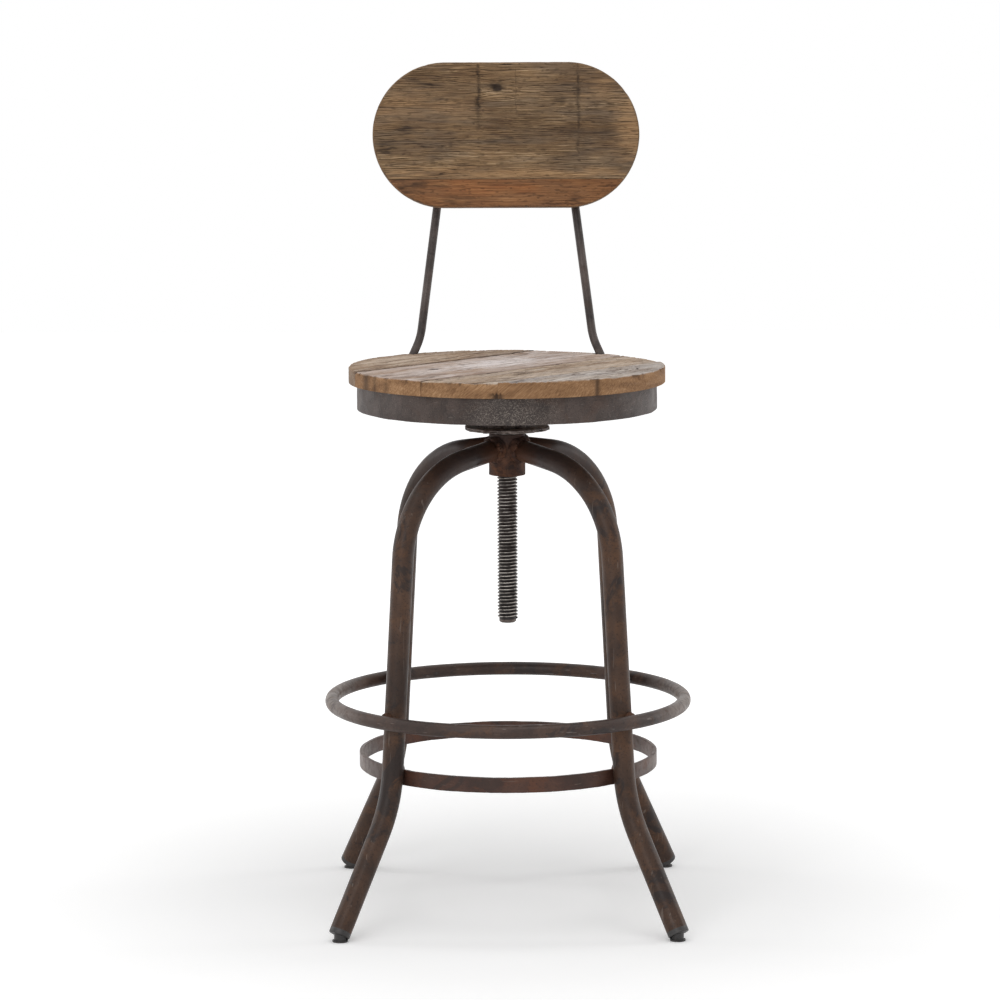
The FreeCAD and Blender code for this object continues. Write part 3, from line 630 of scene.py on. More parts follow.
# seat boards, which run at an angle across the seat
sideStops = (0.0, 0.3, 0.65, 1.0)
sideTones = ((94, 64, 42), (132, 98, 68), (159, 121, 86), (192, 154, 116))
greySideTones = ((84, 64, 50), (116, 94, 77), (144, 122, 103), (172, 150, 131))
seatLook = {
    "grainAngle": 49.0, "faceStep": 0.0005, "columns": 200,
    "edge": {
        "round": 0.0019, "seamRound": 0.0007, "seamFill": 0.00016, "lowRound": 0.0008, "wallRows": 14,
        "chip": 0.004, "chipFrom": 0.2, "sawing": 0.0002, "crowd": -0.35, "seed": 31,
    },
    "board": {
        "faceStops": (0.0, 0.35, 0.7, 1.0), "sideTones": sideTones, "markTone": (50, 36, 28), "shine": 0.25,
    },
}
seatBoards = {
    "seat_board_rear_left": {
        "proud": 0.0013, "sideTones": greySideTones, "seed": 11, "swell": 0.5, "tears": 0.7,
        "ridge": (24, 3.0, 0.85), "furrow": (150, 11, 0.2, 1.0, 0.7, 0.8),
        "faceTones": ((88, 65, 46), (150, 124, 101), (190, 167, 144), (222, 205, 187)),
        "grey": ((174, 158, 146), 0.45), "hair": ((104, 80, 60), 0.55), "groove": ((84, 60, 42), 0.85),
        "paleTones": ((190, 166, 144), (232, 217, 200)),
        "pales": [
            (-0.05, 0.107, 0.09, 0.005, 0.75), (-0.06, 0.128, 0.08, 0.006, 0.7), (0.0, 0.15, 0.08, 0.006, 0.65),
        ],
        "splits": [
            (0.0945, -0.18, 0.12, 2.6, 2.6, 1.0), (0.114, -0.08, 0.12, 0.8, 1.2, 0.8),
            (0.137, -0.1, 0.05, 0.7, 0.9, 0.6),
        ],
        "rimCracks": [(-0.13, 0.131, 1.6, 0.0012, 0.85, -1, 2)],
    },
    "seat_board_middle_left": {
        "proud": 0.0005, "seed": 23, "tears": 0.55, "ridge": (34, 4.2, 0.5),
        "furrow": (150, 14, 0.15, 0.8, 0.5, 0.6),
        "faceTones": ((116, 90, 72), (172, 147, 129), (204, 185, 171), (230, 217, 208)),
        "grey": ((208, 195, 190), 0.5), "hair": ((140, 118, 102), 0.45), "groove": ((104, 82, 66), 0.7),
        "paleTones": ((224, 213, 210), (244, 238, 236)), "knots": [(-0.078, 0.0445, 0.009, 1.0, False)],
        "stains": [
            (-0.155, 0.012, 0.03, 0.012, 0.5), (-0.15, -0.014, 0.024, 0.009, 0.65),
            (-0.165, 0.04, 0.018, 0.008, 0.5), (-0.02, 0.055, 0.006, 0.003, 0.7), (0.12, 0.04, 0.04, 0.02, 0.3),
        ],
        "pales": [(0.02, 0.032, 0.09, 0.04, 1.0), (-0.1, 0.03, 0.05, 0.02, 0.5)],
        "splits": [
            (0.0915, -0.18, 0.14, 2.2, 2.4, 1.0), (-0.004, -0.17, -0.06, 0.8, 0.9, 0.7),
            (0.035, 0.04, 0.16, 0.7, 0.8, 0.6), (0.062, -0.12, -0.02, 0.6, 0.7, 0.6),
            (-0.0275, -0.15, 0.06, 2.4, 1.8, 0.95), (-0.027, 0.05, 0.18, 1.2, 1.4, 0.85),
        ],
        # these three have no depth: they only paint the rim darker towards its left end
        "rimCracks": [
            (-0.1735, 0.0639, 8.0, 0.0, 0.7, -1, 2), (-0.1794, 0.045, 4.5, 0.0, 0.55, -1, 2),
            (-0.1835, 0.024, 4.0, 0.0, 0.5, 0.3, 2),
        ],
    },
    "seat_board_middle_right": {
        "seed": 37, "tears": 0.7, "ridge": (26, 3.0, 0.9), "furrow": (150, 16, 0.13, 0.8, 0.5, 0.6),
        "faceTones": ((100, 76, 56), (170, 147, 125), (208, 188, 168), (232, 218, 203)),
        "grey": ((194, 181, 171), 0.5), "hair": ((104, 80, 62), 0.55), "groove": ((82, 60, 44), 0.85),
        "paleTones": ((206, 186, 166), (240, 228, 214)),
        "splits": [
            (-0.0295, -0.16, 0.12, 1.0, 1.1, 0.8), (-0.06, -0.1, 0.12, 0.9, 1.1, 0.75),
            (-0.092, -0.02, 0.13, 0.7, 0.8, 0.6),
        ],
        "rimCracks": [
            (-0.1825, -0.0295, 2.0, 0.0012, 0.95, -1, 0.5), (-0.1825, -0.0293, 1.1, 0.0005, 0.65, -1, 2),
            (-0.1473, -0.1118, 6.2, 0.0028, 1.0, 0.64, 2),
        ],
    },
    "seat_board_front_right": {
        "proud": 0.0021, "seed": 51, "tears": 0.7, "ridge": (24, 3.3, 0.8),
        "furrow": (140, 17, 0.11, 0.7, 0.45, 0.5),
        "faceTones": ((96, 77, 62), (166, 151, 138), (208, 196, 185), (232, 224, 217)),
        "grey": ((190, 186, 186), 0.55), "hair": ((104, 84, 70), 0.5), "groove": ((80, 62, 50), 0.8),
        "paleTones": ((204, 192, 182), (238, 231, 225)), "knots": [(0.06, -0.133, 0.0125, 0.95, True)],
        "stains": [(0.0, -0.15, 0.03, 0.008, 0.35)],
        "splits": [(-0.114, -0.08, 0.15, 1.2, 1.4, 0.85), (-0.151, 0.0, 0.1, 0.8, 0.9, 0.7)],
        "rimCracks": [(-0.0485, -0.1785, 3.4, 0.002, 1.0, -1, 2), (-0.145, -0.1155, 4.4, 0.0026, 1.0, 0.7, 2)],
    },
}

# slots in the seat's rim, where the back rods slant up through it
rodSlots = {
    "low": (0.133, 0.1223, 0.5955), "high": (0.1035, 0.1513, 0.6595),
    "half": 0.0078, "inner": 0.0069, "drawn": 0.014,
}


def cutRodSlots(world, rimRadius):
    low, high = np.array(rodSlots["low"]), np.array(rodSlots["high"])
    for side in (1, -1):
        share = (world[:, 2] - low[2]) / (high[2] - low[2])
        middle = (low + share[:, None] * (high - low)) * np.array([side, 1, 1])
        reach = np.linalg.norm(middle[:, :2], axis=1)
        outward = middle[:, :2] / reach[:, None]
        sideways = world[:, 0] * outward[:, 1] - world[:, 1] * outward[:, 0]
        radial = (world[:, :2] * outward).sum(1)
        floor = reach - rodSlots["inner"]
        start = floor - rodSlots["drawn"]
        squeezed = start + (radial - start) * (floor - start) / (rimRadius - start)
        inside = (np.abs(sideways) < rodSlots["half"]) & (radial > start)
        world[:, :2] += np.where(inside, squeezed - radial, 0)[:, None] * outward


def addSeatBoards():
    turn = math.radians(seatLook["grainAngle"])
    along = np.array([math.cos(turn), math.sin(turn), 0])
    across = np.array([-math.sin(turn), math.cos(turn), 0])
    radius = max(spanAlong(seatBoards, (1, 0, 0))[1], spanAlong(seatBoards, (0, -1, 0))[1])
    addBoards(seatLook, seatBoards, (along, across, np.array([0, 0, 1])), radius, trim=cutRodSlots)
    print("seat boards made")


addSeatBoards()

# backrest boards, which lean back with the rods
sideShade = 0.78  # their sawn edges are this much darker than the seat's
backrestLook = {
    "lean": 8.0, "faceStep": 0.00045, "columns": 205,
    "edge": {
        "round": 0.0018, "seamRound": 0.0003, "seamFill": 0.00017, "lowRound": 0.0015, "wallRows": 7,
        "chip": 0.002, "chipFrom": 0.25, "sawing": 0.0001, "crowd": 0.0, "seed": 91,
    },
    "board": {
        "faceStops": sideStops, "sideTones": [tuple(int(c * sideShade) for c in tone) for tone in sideTones],
        "markTone": (42, 32, 26), "shine": 0.22,
    },
    "rear": {"ridge": (40, 3.4, 0.25), "swell": 0.3},
}
backrestBoards = {
    "backrest_board_upper": {
        "seed": 71, "wander": 4.0, "swell": 0.4, "tears": 0.6, "ridge": (16, 2.3, 0.55),
        # the lightest face tone is raised partly as a painted highlight on the grain's ridges
        "faceTones": ((74, 53, 36), (112, 86, 61), (146, 118, 86), (206, 175, 138)),
        "grey": ((110, 96, 82), 0.6), "hair": ((62, 45, 31), 0.65), "groove": ((44, 31, 22), 1.0),
        "paleTones": ((146, 111, 76), (196, 158, 116)), "knots": [(-0.0105, 0.144, 0.009, 0.95, False)],
        "stains": [
            (-0.118, 0.094, 0.014, 0.01, 0.7), (-0.14, 0.071, 0.02, 0.009, 0.8),
            (-0.02, 0.079, 0.012, 0.004, 0.5), (0.09, 0.09, 0.035, 0.012, 0.4),
            (0.121, 0.09, 0.016, 0.008, 0.5), (0.064, 0.128, 0.01, 0.009, 0.55),
            (0.004, 0.083, 0.008, 0.004, 0.6), (0.03, 0.1, 0.06, 0.026, 0.35), (-0.1, 0.16, 0.036, 0.016, 0.22),
            (0.075, 0.066, 0.06, 0.01, 0.3),
        ],
        "pales": [
            (-0.13, 0.125, 0.04, 0.022, 0.4), (0.15, 0.092, 0.022, 0.034, 0.75),
            (0.0, 0.0395, 0.16, 0.007, 0.8), (0.118, 0.142, 0.02, 0.014, 0.5), (-0.07, 0.118, 0.03, 0.01, 0.45),
        ],
        "cracks": [
            (-0.0325, 0.118, 0.172, 2.2, 1.2, 0.75, 1.8), (-0.034, 0.092, 0.128, 2.6, 0.8, 0.5, 1.8),
            (0.0865, 0.062, 0.172, 2.0, 0.9, 0.62, 1.4), (0.012, 0.11, 0.168, 0.6, 0.4, 0.5, 1.0),
        ],
    },
    "backrest_board_lower": {
        "seed": 83, "swell": 0.35, "tears": 0.65, "ridge": (24, 3.2, 0.3),
        "faceTones": ((80, 50, 31), (122, 81, 50), (156, 111, 74), (192, 147, 104)),
        "grey": ((112, 82, 60), 0.5), "hair": ((90, 58, 38), 0.4), "groove": ((70, 44, 29), 0.7),
        "paleTones": ((150, 92, 54), (186, 128, 82)),
        "stains": [
            (0.082, 0.008, 0.013, 0.008, 0.7), (-0.112, 0.026, 0.034, 0.011, 0.7),
            (-0.062, 0.004, 0.02, 0.005, 0.6), (-0.05, 0.012, 0.04, 0.005, 0.35),
        ],
        "pales": [(-0.03, 0.022, 0.06, 0.008, 0.6)],
    },
}


def addBackrestBoards():
    turn = math.radians(backrestLook["lean"])
    up = np.array([0, math.sin(turn), math.cos(turn)])
    out = np.array([0, -math.cos(turn), math.sin(turn)])
    bottom, top = spanAlong(backrestBoards, up)
    radius = (top - bottom) / 2
    straight = spanAlong(backrestBoards, (1, 0, 0))[1] - radius
    ways = (np.array([1, 0, 0]), up, out)
    addBoards(backrestLook, backrestBoards, ways, radius, bottom, radius, straight)
    print("backrest boards made")


addBackrestBoards()


# turned steel pieces, given a hand-worked surface
def easedOutline(profile, look):
    # the closed outline with eased corners, and its outward way at each point
    corners = np.array(profile, float)
    ring, lengths = [], np.linalg.norm(np.roll(corners, -1, 0) - corners, axis=1)
    for k, corner in enumerate(corners):
        before = corners[k - 1] - corner
        after = corners[(k + 1) % len(corners)] - corner
        ease = min(look["round"], 0.45 * lengths[k], 0.45 * lengths[k - 1])
        start = corner + before / np.linalg.norm(before) * ease
        end = corner + after / np.linalg.norm(after) * ease
        for t in (0, 0.25, 0.5, 0.75, 1):
            ring.append((1 - t) ** 2 * start + 2 * t * (1 - t) * corner + t * t * end)
        steps = int(lengths[k] / look["step"])
        for t in np.arange(1, steps) / max(steps, 1):
            if ease < t * lengths[k] < lengths[k] - ease:
                ring.append(corner + after * t)
    ring = np.array(ring)
    ahead = np.roll(ring, -1, 0) - np.roll(ring, 1, 0)
    out = np.stack([ahead[:, 1], -ahead[:, 0]], 1)
    return ring, out / np.maximum(np.linalg.norm(out, axis=1), tiny)[:, None]


def turnedPiece(node, profile, look):
    # profile is a closed run of (radius, height) corners, where the outside comes first, going up
    ring, out = easedOutline(profile, look)
    around, count, seed = look["around"], len(ring), look["seed"]
    turn = np.linspace(0, 2 * math.pi, around, endpoint=False)[:, None]
    x, y = ring[:, 0] * np.cos(turn), ring[:, 0] * np.sin(turn)
    z = np.broadcast_to(ring[:, 1], x.shape)
    place = np.stack([x, y, z]) * mm
    lift = look["dent"] * layeredNoise(*(place / look["dentSize"]), seed, 2)
    pit = np.full(x.shape, look["pit"])
    if "roughPatch" in look:
        patch = look["roughPatch"]
        off = np.abs((turn - patch["turn"] + math.pi) % (2 * math.pi) - math.pi) / patch["spread"]
        off = off + 0.5 * layeredNoise(*(place / 22), seed + 7, 2)
        pit = pit * (1 + patch["gain"] * (1 - smoothStep(off, 0.6, 1.25)))
    lift = lift + pit * layeredNoise(*(place / look["pitSize"]), seed + 5, 3)
    if "ragged" in look:
        here = np.abs(out[:, 0]) * (ring[:, 0] > look["raggedFrom"])
        uneven = layeredNoise(place[0] / 6, place[1] / 6, place[2] / 9, seed + 9, 3) - 0.35
        lift = lift + look["ragged"] * here * uneven
    radius, z = ring[:, 0] + out[:, 0] * lift, z + out[:, 1] * lift
    points = np.stack([radius * np.cos(turn), radius * np.sin(turn), z], -1).reshape(-1, 3)
    index = np.arange(around * count).reshape(around, count)
    ahead = np.roll(index, -1, 0)
    quads = np.stack([index, ahead, np.roll(ahead, -1, 1), np.roll(index, -1, 1)], -1).reshape(-1, 4)
    return meshPiece(node + ".worked", points, quads, look["body"], [node])


braceThickness = 0.005
turnedLooks = {
    "seat_band": {
        "body": "seat", "slot": "band_steel", "bore": 0.1723, "steel": "band", "round": 0.0007, "step": 0.0013,
        "around": 860, "seed": 101, "dent": 0.00045, "dentSize": 26, "pit": 0.00012, "pitSize": 2.2,
        "roughPatch": {"turn": -1.55, "spread": 0.3, "gain": 4.0},
    },
    "spindle_flange": {
        "body": "seat", "slot": "flange_steel", "bore": 0.0101, "steel": "flange", "round": 0.0012,
        "step": 0.0016, "around": 260, "seed": 111, "dent": 0.0004, "dentSize": 12, "pit": 0.0003, "pitSize": 3,
        "ragged": 0.0034, "raggedFrom": 0.04,
    },
    "riser_tube": {
        "body": "seat", "slot": "flange_steel", "bore": 0.0265, "steel": "flange", "round": 0.0006,
        "step": 0.002, "around": 160, "seed": 121, "dent": 0.0002, "dentSize": 14, "pit": 0.00015, "pitSize": 3,
    },
    "hub_sleeve": {
        "body": "frame", "slot": "hub_steel", "bore": 0.0162, "steel": "hub", "round": 0.0012, "step": 0.0016,
        "around": 150, "seed": 131, "dent": 0.0003, "dentSize": 10, "pit": 0.0002, "pitSize": 2.6,
    },
    "brace_ring": {
        "body": "frame", "slot": "brace_steel", "bore": None, "steel": "brace", "round": 0.001, "step": 0.0022,
        "around": 560, "seed": 141, "dent": 0.00035, "dentSize": 26, "pit": 0.00016, "pitSize": 3,
    },
}


def addTurnedPieces():
    made = {}
    for node, look in turnedLooks.items():
        low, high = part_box(node)
        outer = (high[0] - low[0]) / 2
        bore = look["bore"] or outer - braceThickness
        profile = [(outer, low[2]), (outer, high[2]), (bore, high[2]), (bore, low[2])]
        made[node] = turnedPiece(node, profile, look)
    print("turned pieces made")
    return made


turnedPieces = addTurnedPieces()

# steel finishes; each layer is a tone, its share and its scale, and rust and black also say where they begin
# worn (tone, share, from, to), partly a painted highlight, stains (tone, share, centre, core, reach, ragged),
# frost the same and its scale
# the stains lay an even greyish tone round the hub under the seat, kept light to paint light into the shade
# there, then rust next to the weld, and a darker patch over the band's front middle
steelStops = (0.0, 0.45, 1.0)
steelLooks = {
    "frame": {
        "tones": ((53, 40, 34), (68, 50, 40), (86, 63, 49)), "patchScale": 15.0,
        "rust": ((100, 70, 49), 0.45, 26.0, 0.52), "black": ((38, 33, 33), 0.75, 17.0, 0.56),
        "speck": ((46, 38, 36), 0.55, 130.0), "pit": ((36, 29, 26), 0.6, 450.0),
        "scratch": ((122, 110, 102), 0.45, (260, 260, 22)),
        "stains": [
            # painted light: an even greyish tone round the hub, kept light against the shade under the seat
            ((58, 48, 46), 0.8, (0, 0, 0.552), 0.1, 0.16, 0.02),
            ((112, 78, 60), 0.85, (0, 0, 0.527), 0.032, 0.066, 0.01),
        ],
        "rough": (0.34, 0.52), "metal": 0.1, "shine": 0.24, "bump": 0.8,
    },
    "ring": {
        "tones": ((50, 39, 35), (64, 49, 43), (80, 61, 52)), "patchScale": 15.0,
        "rust": ((98, 68, 48), 0.5, 26.0, 0.54), "black": ((40, 35, 35), 0.7, 20.0, 0.57),
        "speck": ((46, 38, 36), 0.5, 140.0), "pit": ((38, 31, 28), 0.5, 450.0),
        # the worn grey at the ring's ends is partly a painted highlight
        "scratch": ((136, 126, 120), 0.5, (60, 60, 420)), "worn": ((150, 138, 130), 0.75, 0.165, 0.215),
        "rough": (0.36, 0.55), "metal": 0.12, "shine": 0.35, "bump": 0.6,
    },
    "brace": {
        "tones": ((55, 39, 33), (68, 45, 37), (86, 58, 46)), "patchScale": 18.0,
        "rust": ((100, 62, 44), 0.6, 22.0, 0.52), "black": ((42, 35, 33), 0.6, 20.0, 0.58),
        "speck": ((48, 38, 34), 0.4, 120.0), "pit": ((40, 31, 27), 0.5, 450.0),
        # the worn grey at the brace's ends is partly a painted highlight
        "scratch": ((120, 104, 96), 0.4, (50, 50, 420)), "worn": ((138, 126, 120), 0.6, 0.135, 0.176),
        "rough": (0.38, 0.56), "metal": 0.12, "shine": 0.35, "bump": 0.5,
    },
    "hub": {
        "tones": ((52, 38, 33), (78, 54, 44), (102, 71, 55)), "patchScale": 45.0,
        "rust": ((118, 78, 54), 0.5, 55.0, 0.52), "black": ((34, 27, 25), 0.6, 45.0, 0.57),
        "speck": ((40, 30, 27), 0.5, 200.0), "pit": ((32, 25, 22), 0.5, 600.0),
        "scratch": ((120, 92, 72), 0.3, (300, 300, 60)),
        # painted light: an even greyish tone over the hub's top, kept light against the shade under the seat
        "stains": [((66, 52, 48), 0.9, (0, 0, 0.572), 0.024, 0.036, 0.005)], "rough": (0.55, 0.7),
        "metal": 0.08, "shine": 0.16, "bump": 0.8,
    },
    "band": {
        "tones": ((58, 49, 46), (73, 63, 59), (92, 80, 75)), "patchScale": 20.0,
        "rust": ((88, 68, 58), 0.45, 26.0, 0.54), "black": ((46, 41, 40), 0.45, 22.0, 0.56),
        "speck": ((108, 98, 92), 0.6, 620.0), "pit": ((40, 34, 33), 0.7, 800.0),
        "scratch": ((124, 114, 108), 0.4, (120, 120, 420)),
        # a darker patch over the band's front middle
        "stains": [((56, 49, 47), 0.6, (0.008, -0.178, 0.592), 0.022, 0.062, 0.008)],
        "frost": ((150, 140, 130), 0.75, (0.008, -0.178, 0.593), 0.024, 0.06, 0.015, 560.0),
        "rough": (0.42, 0.62), "metal": 0.12, "shine": 0.28, "bump": 0.9,
    },
    # painted light: the flange, riser tube, mounting plate and seat bars sit in the shade under the seat, and
    # these tones are kept light to lift it
    "flange": {
        "tones": ((78, 68, 65), (104, 92, 87), (134, 122, 115)), "patchScale": 50.0,
        "rust": ((66, 52, 46), 0.5, 60.0, 0.54), "black": ((38, 33, 32), 0.6, 50.0, 0.56),
        "speck": ((200, 190, 182), 0.85, 300.0), "pit": ((36, 31, 30), 0.6, 520.0),
        "scratch": ((110, 102, 96), 0.3, (200, 200, 60)), "rough": (0.42, 0.62), "metal": 0.15, "shine": 0.3,
        "bump": 0.9,
    },
    "rod": {
        "tones": ((56, 50, 48), (70, 62, 59), (90, 80, 76)), "patchScale": 30.0,
        "rust": ((78, 62, 54), 0.45, 34.0, 0.55), "black": ((44, 39, 38), 0.6, 32.0, 0.57),
        "speck": ((46, 41, 39), 0.4, 220.0), "pit": ((42, 36, 34), 0.4, 600.0),
        "scratch": ((128, 120, 114), 0.4, (420, 420, 26)), "rough": (0.38, 0.55), "metal": 0.15, "shine": 0.3,
        "bump": 0.5,
    },
    "fastener": {
        "tones": ((100, 96, 92), (130, 126, 120), (158, 154, 148)), "patchScale": 60.0,
        "rust": ((98, 70, 52), 0.5, 120.0, 0.56), "black": ((70, 66, 62), 0.5, 90.0, 0.57),
        "speck": ((78, 72, 66), 0.4, 330.0), "pit": ((74, 68, 64), 0.4, 700.0),
        "scratch": ((180, 176, 170), 0.3, (500, 500, 90)), "rough": (0.32, 0.5), "metal": 0.7, "shine": 0.5,
        "bump": 0.4,
    },
}
steelParts = {
    "frame": ["leg_" + corner for corner in legCorners],
    "ring": ["footrest_ring"],
    "hub": ["threaded_bush", "hub_welds", "footrest_welds", "brace_welds"],
    "flange": ["mounting_plate", "seat_bar_front", "seat_bar_rear"],
    "rod": ["back_rod_left", "back_rod_right", "backrest_tabs", "rod_welds"],
    "fastener": ["plate_bolts", "seat_screws", "backrest_screws"],
}
steels = {name: steelFinish("stool" + name.capitalize() + "Steel", look) for name, look in steelLooks.items()}
for steelName, partNames in steelParts.items():
    for partName in partNames:
        paintNode(partName, steels[steelName])
for partName, piece in turnedPieces.items():
    piece.data.materials.append(steels[turnedLooks[partName]["steel"]])

# weld beads are remeshed finely and made lumpy, and the plain steel parts get eased edges
beadVoxel = 0.0007
plainBead = {"size": 0.0045, "height": 0.0016, "middle": 0.5}
beadNodes = {
    "hub_welds": {"size": 0.012, "height": 0.005, "middle": 0.08},
    "footrest_welds": plainBead, "brace_welds": plainBead, "rod_welds": plainBead,
}
easedNodes = {
    "mounting_plate": 0.0006, "seat_bar_front": 0.0006, "seat_bar_rear": 0.0006, "backrest_tabs": 0.0005,
    "plate_bolts": 0.0004, "back_rod_left": 0.0006, "back_rod_right": 0.0006,
}
easedAngle = 50.0
tubeDent = {"size": 0.03, "height": 0.0003, "middle": 0.5}
tubeNodes = steelParts["frame"] + steelParts["ring"]
joinWithin = 0.00001


def addJoin(node):
    join = node.modifiers.new("joined", "WELD")
    join.merge_threshold = joinWithin


def addDisplace(node, textureName, lumps):
    clouds = bpy.data.textures.get(textureName) or bpy.data.textures.new(textureName, "CLOUDS")
    clouds.noise_scale = lumps["size"]
    lump = node.modifiers.new("handWork", "DISPLACE")
    lump.texture = clouds
    lump.texture_coords = "LOCAL"
    lump.strength = lumps["height"]
    lump.mid_level = lumps["middle"]


def workSteel():
    for name, lumps in beadNodes.items():
        remesh = nodes[name].modifiers.new("fineMesh", "REMESH")
        remesh.mode = "VOXEL"
        remesh.voxel_size = beadVoxel
        remesh.use_smooth_shade = True
        addDisplace(nodes[name], "lumps." + name, lumps)
    for name, width in easedNodes.items():
        addJoin(nodes[name])
        ease = nodes[name].modifiers.new("easedEdges", "BEVEL")
        ease.width = width
        ease.segments = 2
        ease.limit_method = "ANGLE"
        ease.angle_limit = math.radians(easedAngle)
    for name in tubeNodes:
        addJoin(nodes[name])
        addDisplace(nodes[name], "tubeDents", tubeDent)


workSteel()
print("steel worked")

# lifting screw: dark in the thread's root, partly grime and partly painted shade, and bright on its crests,
# partly worn bare steel and partly a painted highlight
screwLook = {
    "rootRadius": 0.0102, "crestRadius": 0.0119,
    # the crest tone is partly a painted highlight, the root tone partly painted shade
    "rootGrimeAndShadeTone": (26, 20, 18), "flankTone": (50, 43, 40), "crestWearAndHighlightTone": (198, 191, 184),
    # the upper turns are rustier than the lower ones, and the cut end is plain worn steel
    "rustTone": (52, 37, 32), "rustFrom": 0.05, "rustTo": 0.15, "rustShare": 0.5, "dullShare": 0.8,
    "endTone": (112, 99, 92), "endFrom": 0.0045, "endTo": 0.003,
    "rough": (0.3, 0.5), "metal": 0.4,
}


def screwFinish(look):
    material, tree, shader = shaderTree("liftingScrewSteel")
    place = objectPlace(tree)
    away = vectorMath(tree, "LENGTH", vectorMath(tree, "MULTIPLY", place, (1, 1, 0), "Vector"))
    climb = rampValue(tree, away, look["rootRadius"], look["crestRadius"])
    bottom = min(vertex.co.z for vertex in nodes["spindle_screw"].data.vertices)
    level = addNode(tree, "ShaderNodeSeparateXYZ", None, {"Vector": place}).outputs["Z"]
    rusty = rampValue(tree, level, bottom + look["rustFrom"], bottom + look["rustTo"])
    grime = noiseValue(tree, place, 90.0, 4.0, 0.6, 0.5)
    # painted highlight on the crests and painted shade in the roots, over the steel's own wear and grime
    crest = rampValue(tree, climb, 0.8, 1.0)
    crest = mathValue(tree, "MULTIPLY", crest, rampValue(tree, grime, 0.36, 0.6, 0.1, 1.0))
    crest = mathValue(tree, "MULTIPLY", crest, rampValue(tree, rusty, 0.0, 1.0, 1.0, look["dullShare"]))
    tone = mixTone(tree, rampValue(tree, climb, 0.0, 0.8), look["rootGrimeAndShadeTone"], look["flankTone"])
    tone = mixTone(tree, mathValue(tree, "MULTIPLY", rusty, look["rustShare"]), tone, look["rustTone"])
    tone = mixTone(tree, crest, tone, look["crestWearAndHighlightTone"])
    cutEnd = rampValue(tree, level, bottom + look["endFrom"], bottom + look["endTo"])
    cutEnd = mathValue(tree, "MULTIPLY", cutEnd, rampValue(tree, grime, 0.3, 0.6, 0.5, 1.0))
    tone = mixTone(tree, cutEnd, tone, look["endTone"])
    joinShader(tree, shader, look, tone, (grime, 0.3, 0.7))
    return material


screwSteel = screwFinish(screwLook)
for partName in ("spindle_screw", "thrust_washer"):
    paintNode(partName, screwSteel)

# foot caps: moulded black plastic, a little scuffed
capLook = {"tones": ((34, 32, 32), (62, 59, 58)), "rough": (0.6, 0.4), "bump": 0.35}


def capFinish(look):
    material, tree, shader = shaderTree("footCapPlastic")
    scuff = noiseValue(tree, objectPlace(tree), 140.0, 5.0, 0.65, 0.4)
    tone = rampTones(tree, rampValue(tree, scuff, 0.35, 0.68), (0.0, 1.0), look["tones"])
    joinShader(tree, shader, look, tone, (scuff, 0.3, 0.7), ((scuff, 1),))
    return material


capPlastic = capFinish(capLook)
for corner in legCorners:
    paintNode("foot_cap_" + corner, capPlastic)
print("finishes set")

# studio: pale floor, white surround, soft lamps (name, place, size, power) that point at the stool
studio = {
    "floorSize": 14.0, "floorDrop": 0.0002,
    "floorTone": (250, 250, 250), "floorRough": 0.9, "floorShine": 0.1,
    "floorGlow": (0.16, 0.62), "glowFrom": 0.35, "glowTo": 1.6,
    "surround": 0.45,
    "lampTarget": (0, 0, 0.5),
    "lamps": [
        ("overheadLamp", (0.0, -0.6, 3.2), (2.6, 2.2), 30),
        ("frontLamp", (-1.6, -4.2, 2.1), (1.8, 1.8), 37),
        ("leftLamp", (-2.6, 0.7, 1.2), (0.5, 1.8), 9),
        ("rightLamp", (2.6, 0.7, 1.2), (0.5, 1.8), 11),
    ],
}


def seenRays(tree):
    # rays that show the surround itself, straight or mirrored
    path = addNode(tree, "ShaderNodeLightPath")
    seen = mathValue(tree, "MAXIMUM", path.outputs["Is Camera Ray"], path.outputs["Is Glossy Ray"])
    return mathValue(tree, "MAXIMUM", seen, path.outputs["Is Transmission Ray"])


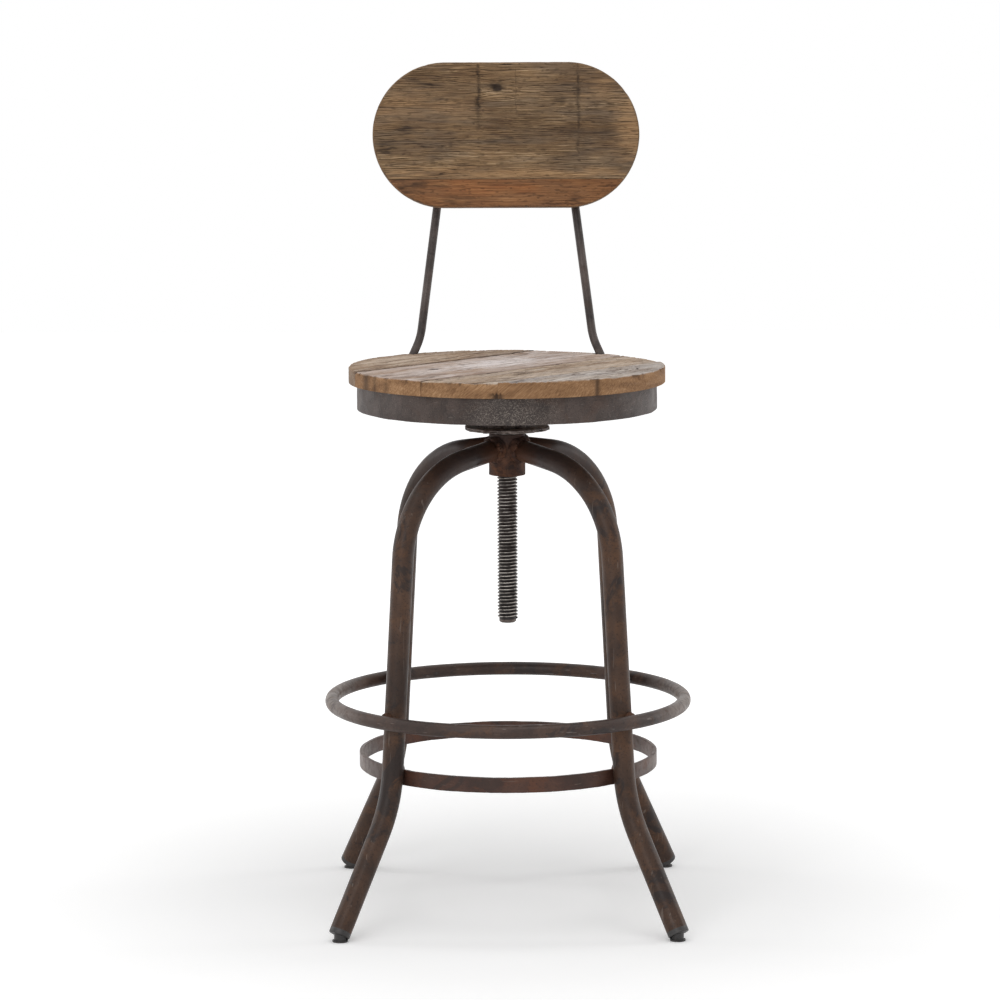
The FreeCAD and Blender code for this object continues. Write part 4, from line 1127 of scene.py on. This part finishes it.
def addFloor(setup):
    half, height = setup["floorSize"] / 2, -setup["floorDrop"]
    mesh = bpy.data.meshes.new("studioFloor")
    corners = [(-half, -half, height), (half, -half, height), (half, half, height), (-half, half, height)]
    mesh.from_pydata(corners, [], [(0, 1, 2, 3)])
    floor = bpy.data.objects.new("studioFloor", mesh)
    scene.collection.objects.link(floor)
    material, tree, shader = shaderTree("studioFloorPaint")
    shader.inputs["Base Color"].default_value = (*linearTone(setup["floorTone"]), 1)
    shader.inputs["Roughness"].default_value = setup["floorRough"]
    shader.inputs["Specular IOR Level"].default_value = setup["floorShine"]
    seen = seenRays(tree)
    away = vectorMath(tree, "LENGTH", objectPlace(tree))
    lift = rampValue(tree, away, setup["glowFrom"], setup["glowTo"], *setup["floorGlow"])
    glow = addNode(tree, "ShaderNodeEmission", None, {"Color": (1, 1, 1, 1), "Strength": lift})
    dark = addNode(tree, "ShaderNodeEmission", None, {"Color": (0, 0, 0, 1), "Strength": 0.0})
    chosen = addNode(tree, "ShaderNodeMixShader", None, {0: seen, 1: dark.outputs[0], 2: glow.outputs[0]})
    both = addNode(tree, "ShaderNodeAddShader", None, {0: shader.outputs[0], 1: chosen.outputs[0]})
    tree.links.new(both.outputs[0], tree.nodes["Material Output"].inputs["Surface"])
    mesh.materials.append(material)


def addSurround(setup):
    world = bpy.data.worlds.new("studioSurround")
    scene.world = world
    world.use_nodes = True
    tree = world.node_tree
    plain = tree.nodes["Background"]
    plain.inputs["Color"].default_value = (1, 1, 1, 1)
    plain.inputs["Strength"].default_value = setup["surround"]
    shown = addNode(tree, "ShaderNodeBackground", None, {"Color": (1, 1, 1, 1), "Strength": 1.0})
    inputs = {0: seenRays(tree), 1: plain.outputs[0], 2: shown.outputs[0]}
    mix = addNode(tree, "ShaderNodeMixShader", None, inputs)
    tree.links.new(mix.outputs[0], tree.nodes["World Output"].inputs["Surface"])


def addLamps(setup):
    for name, place, size, power in setup["lamps"]:
        data = bpy.data.lights.new(name, "AREA")
        data.shape = "RECTANGLE"
        data.size, data.size_y = size
        data.energy = power
        lamp = bpy.data.objects.new(name, data)
        lamp.location = place
        away = np.array(setup["lampTarget"]) - np.array(place)
        flat = math.hypot(away[0], away[1])
        lamp.rotation_euler = (math.atan2(flat, -away[2]), 0, math.atan2(away[1], away[0]) - math.pi / 2)
        scene.collection.objects.link(lamp)


addFloor(studio)
addSurround(studio)
addLamps(studio)
scene.view_settings.view_transform = "Standard"
print("studio set")
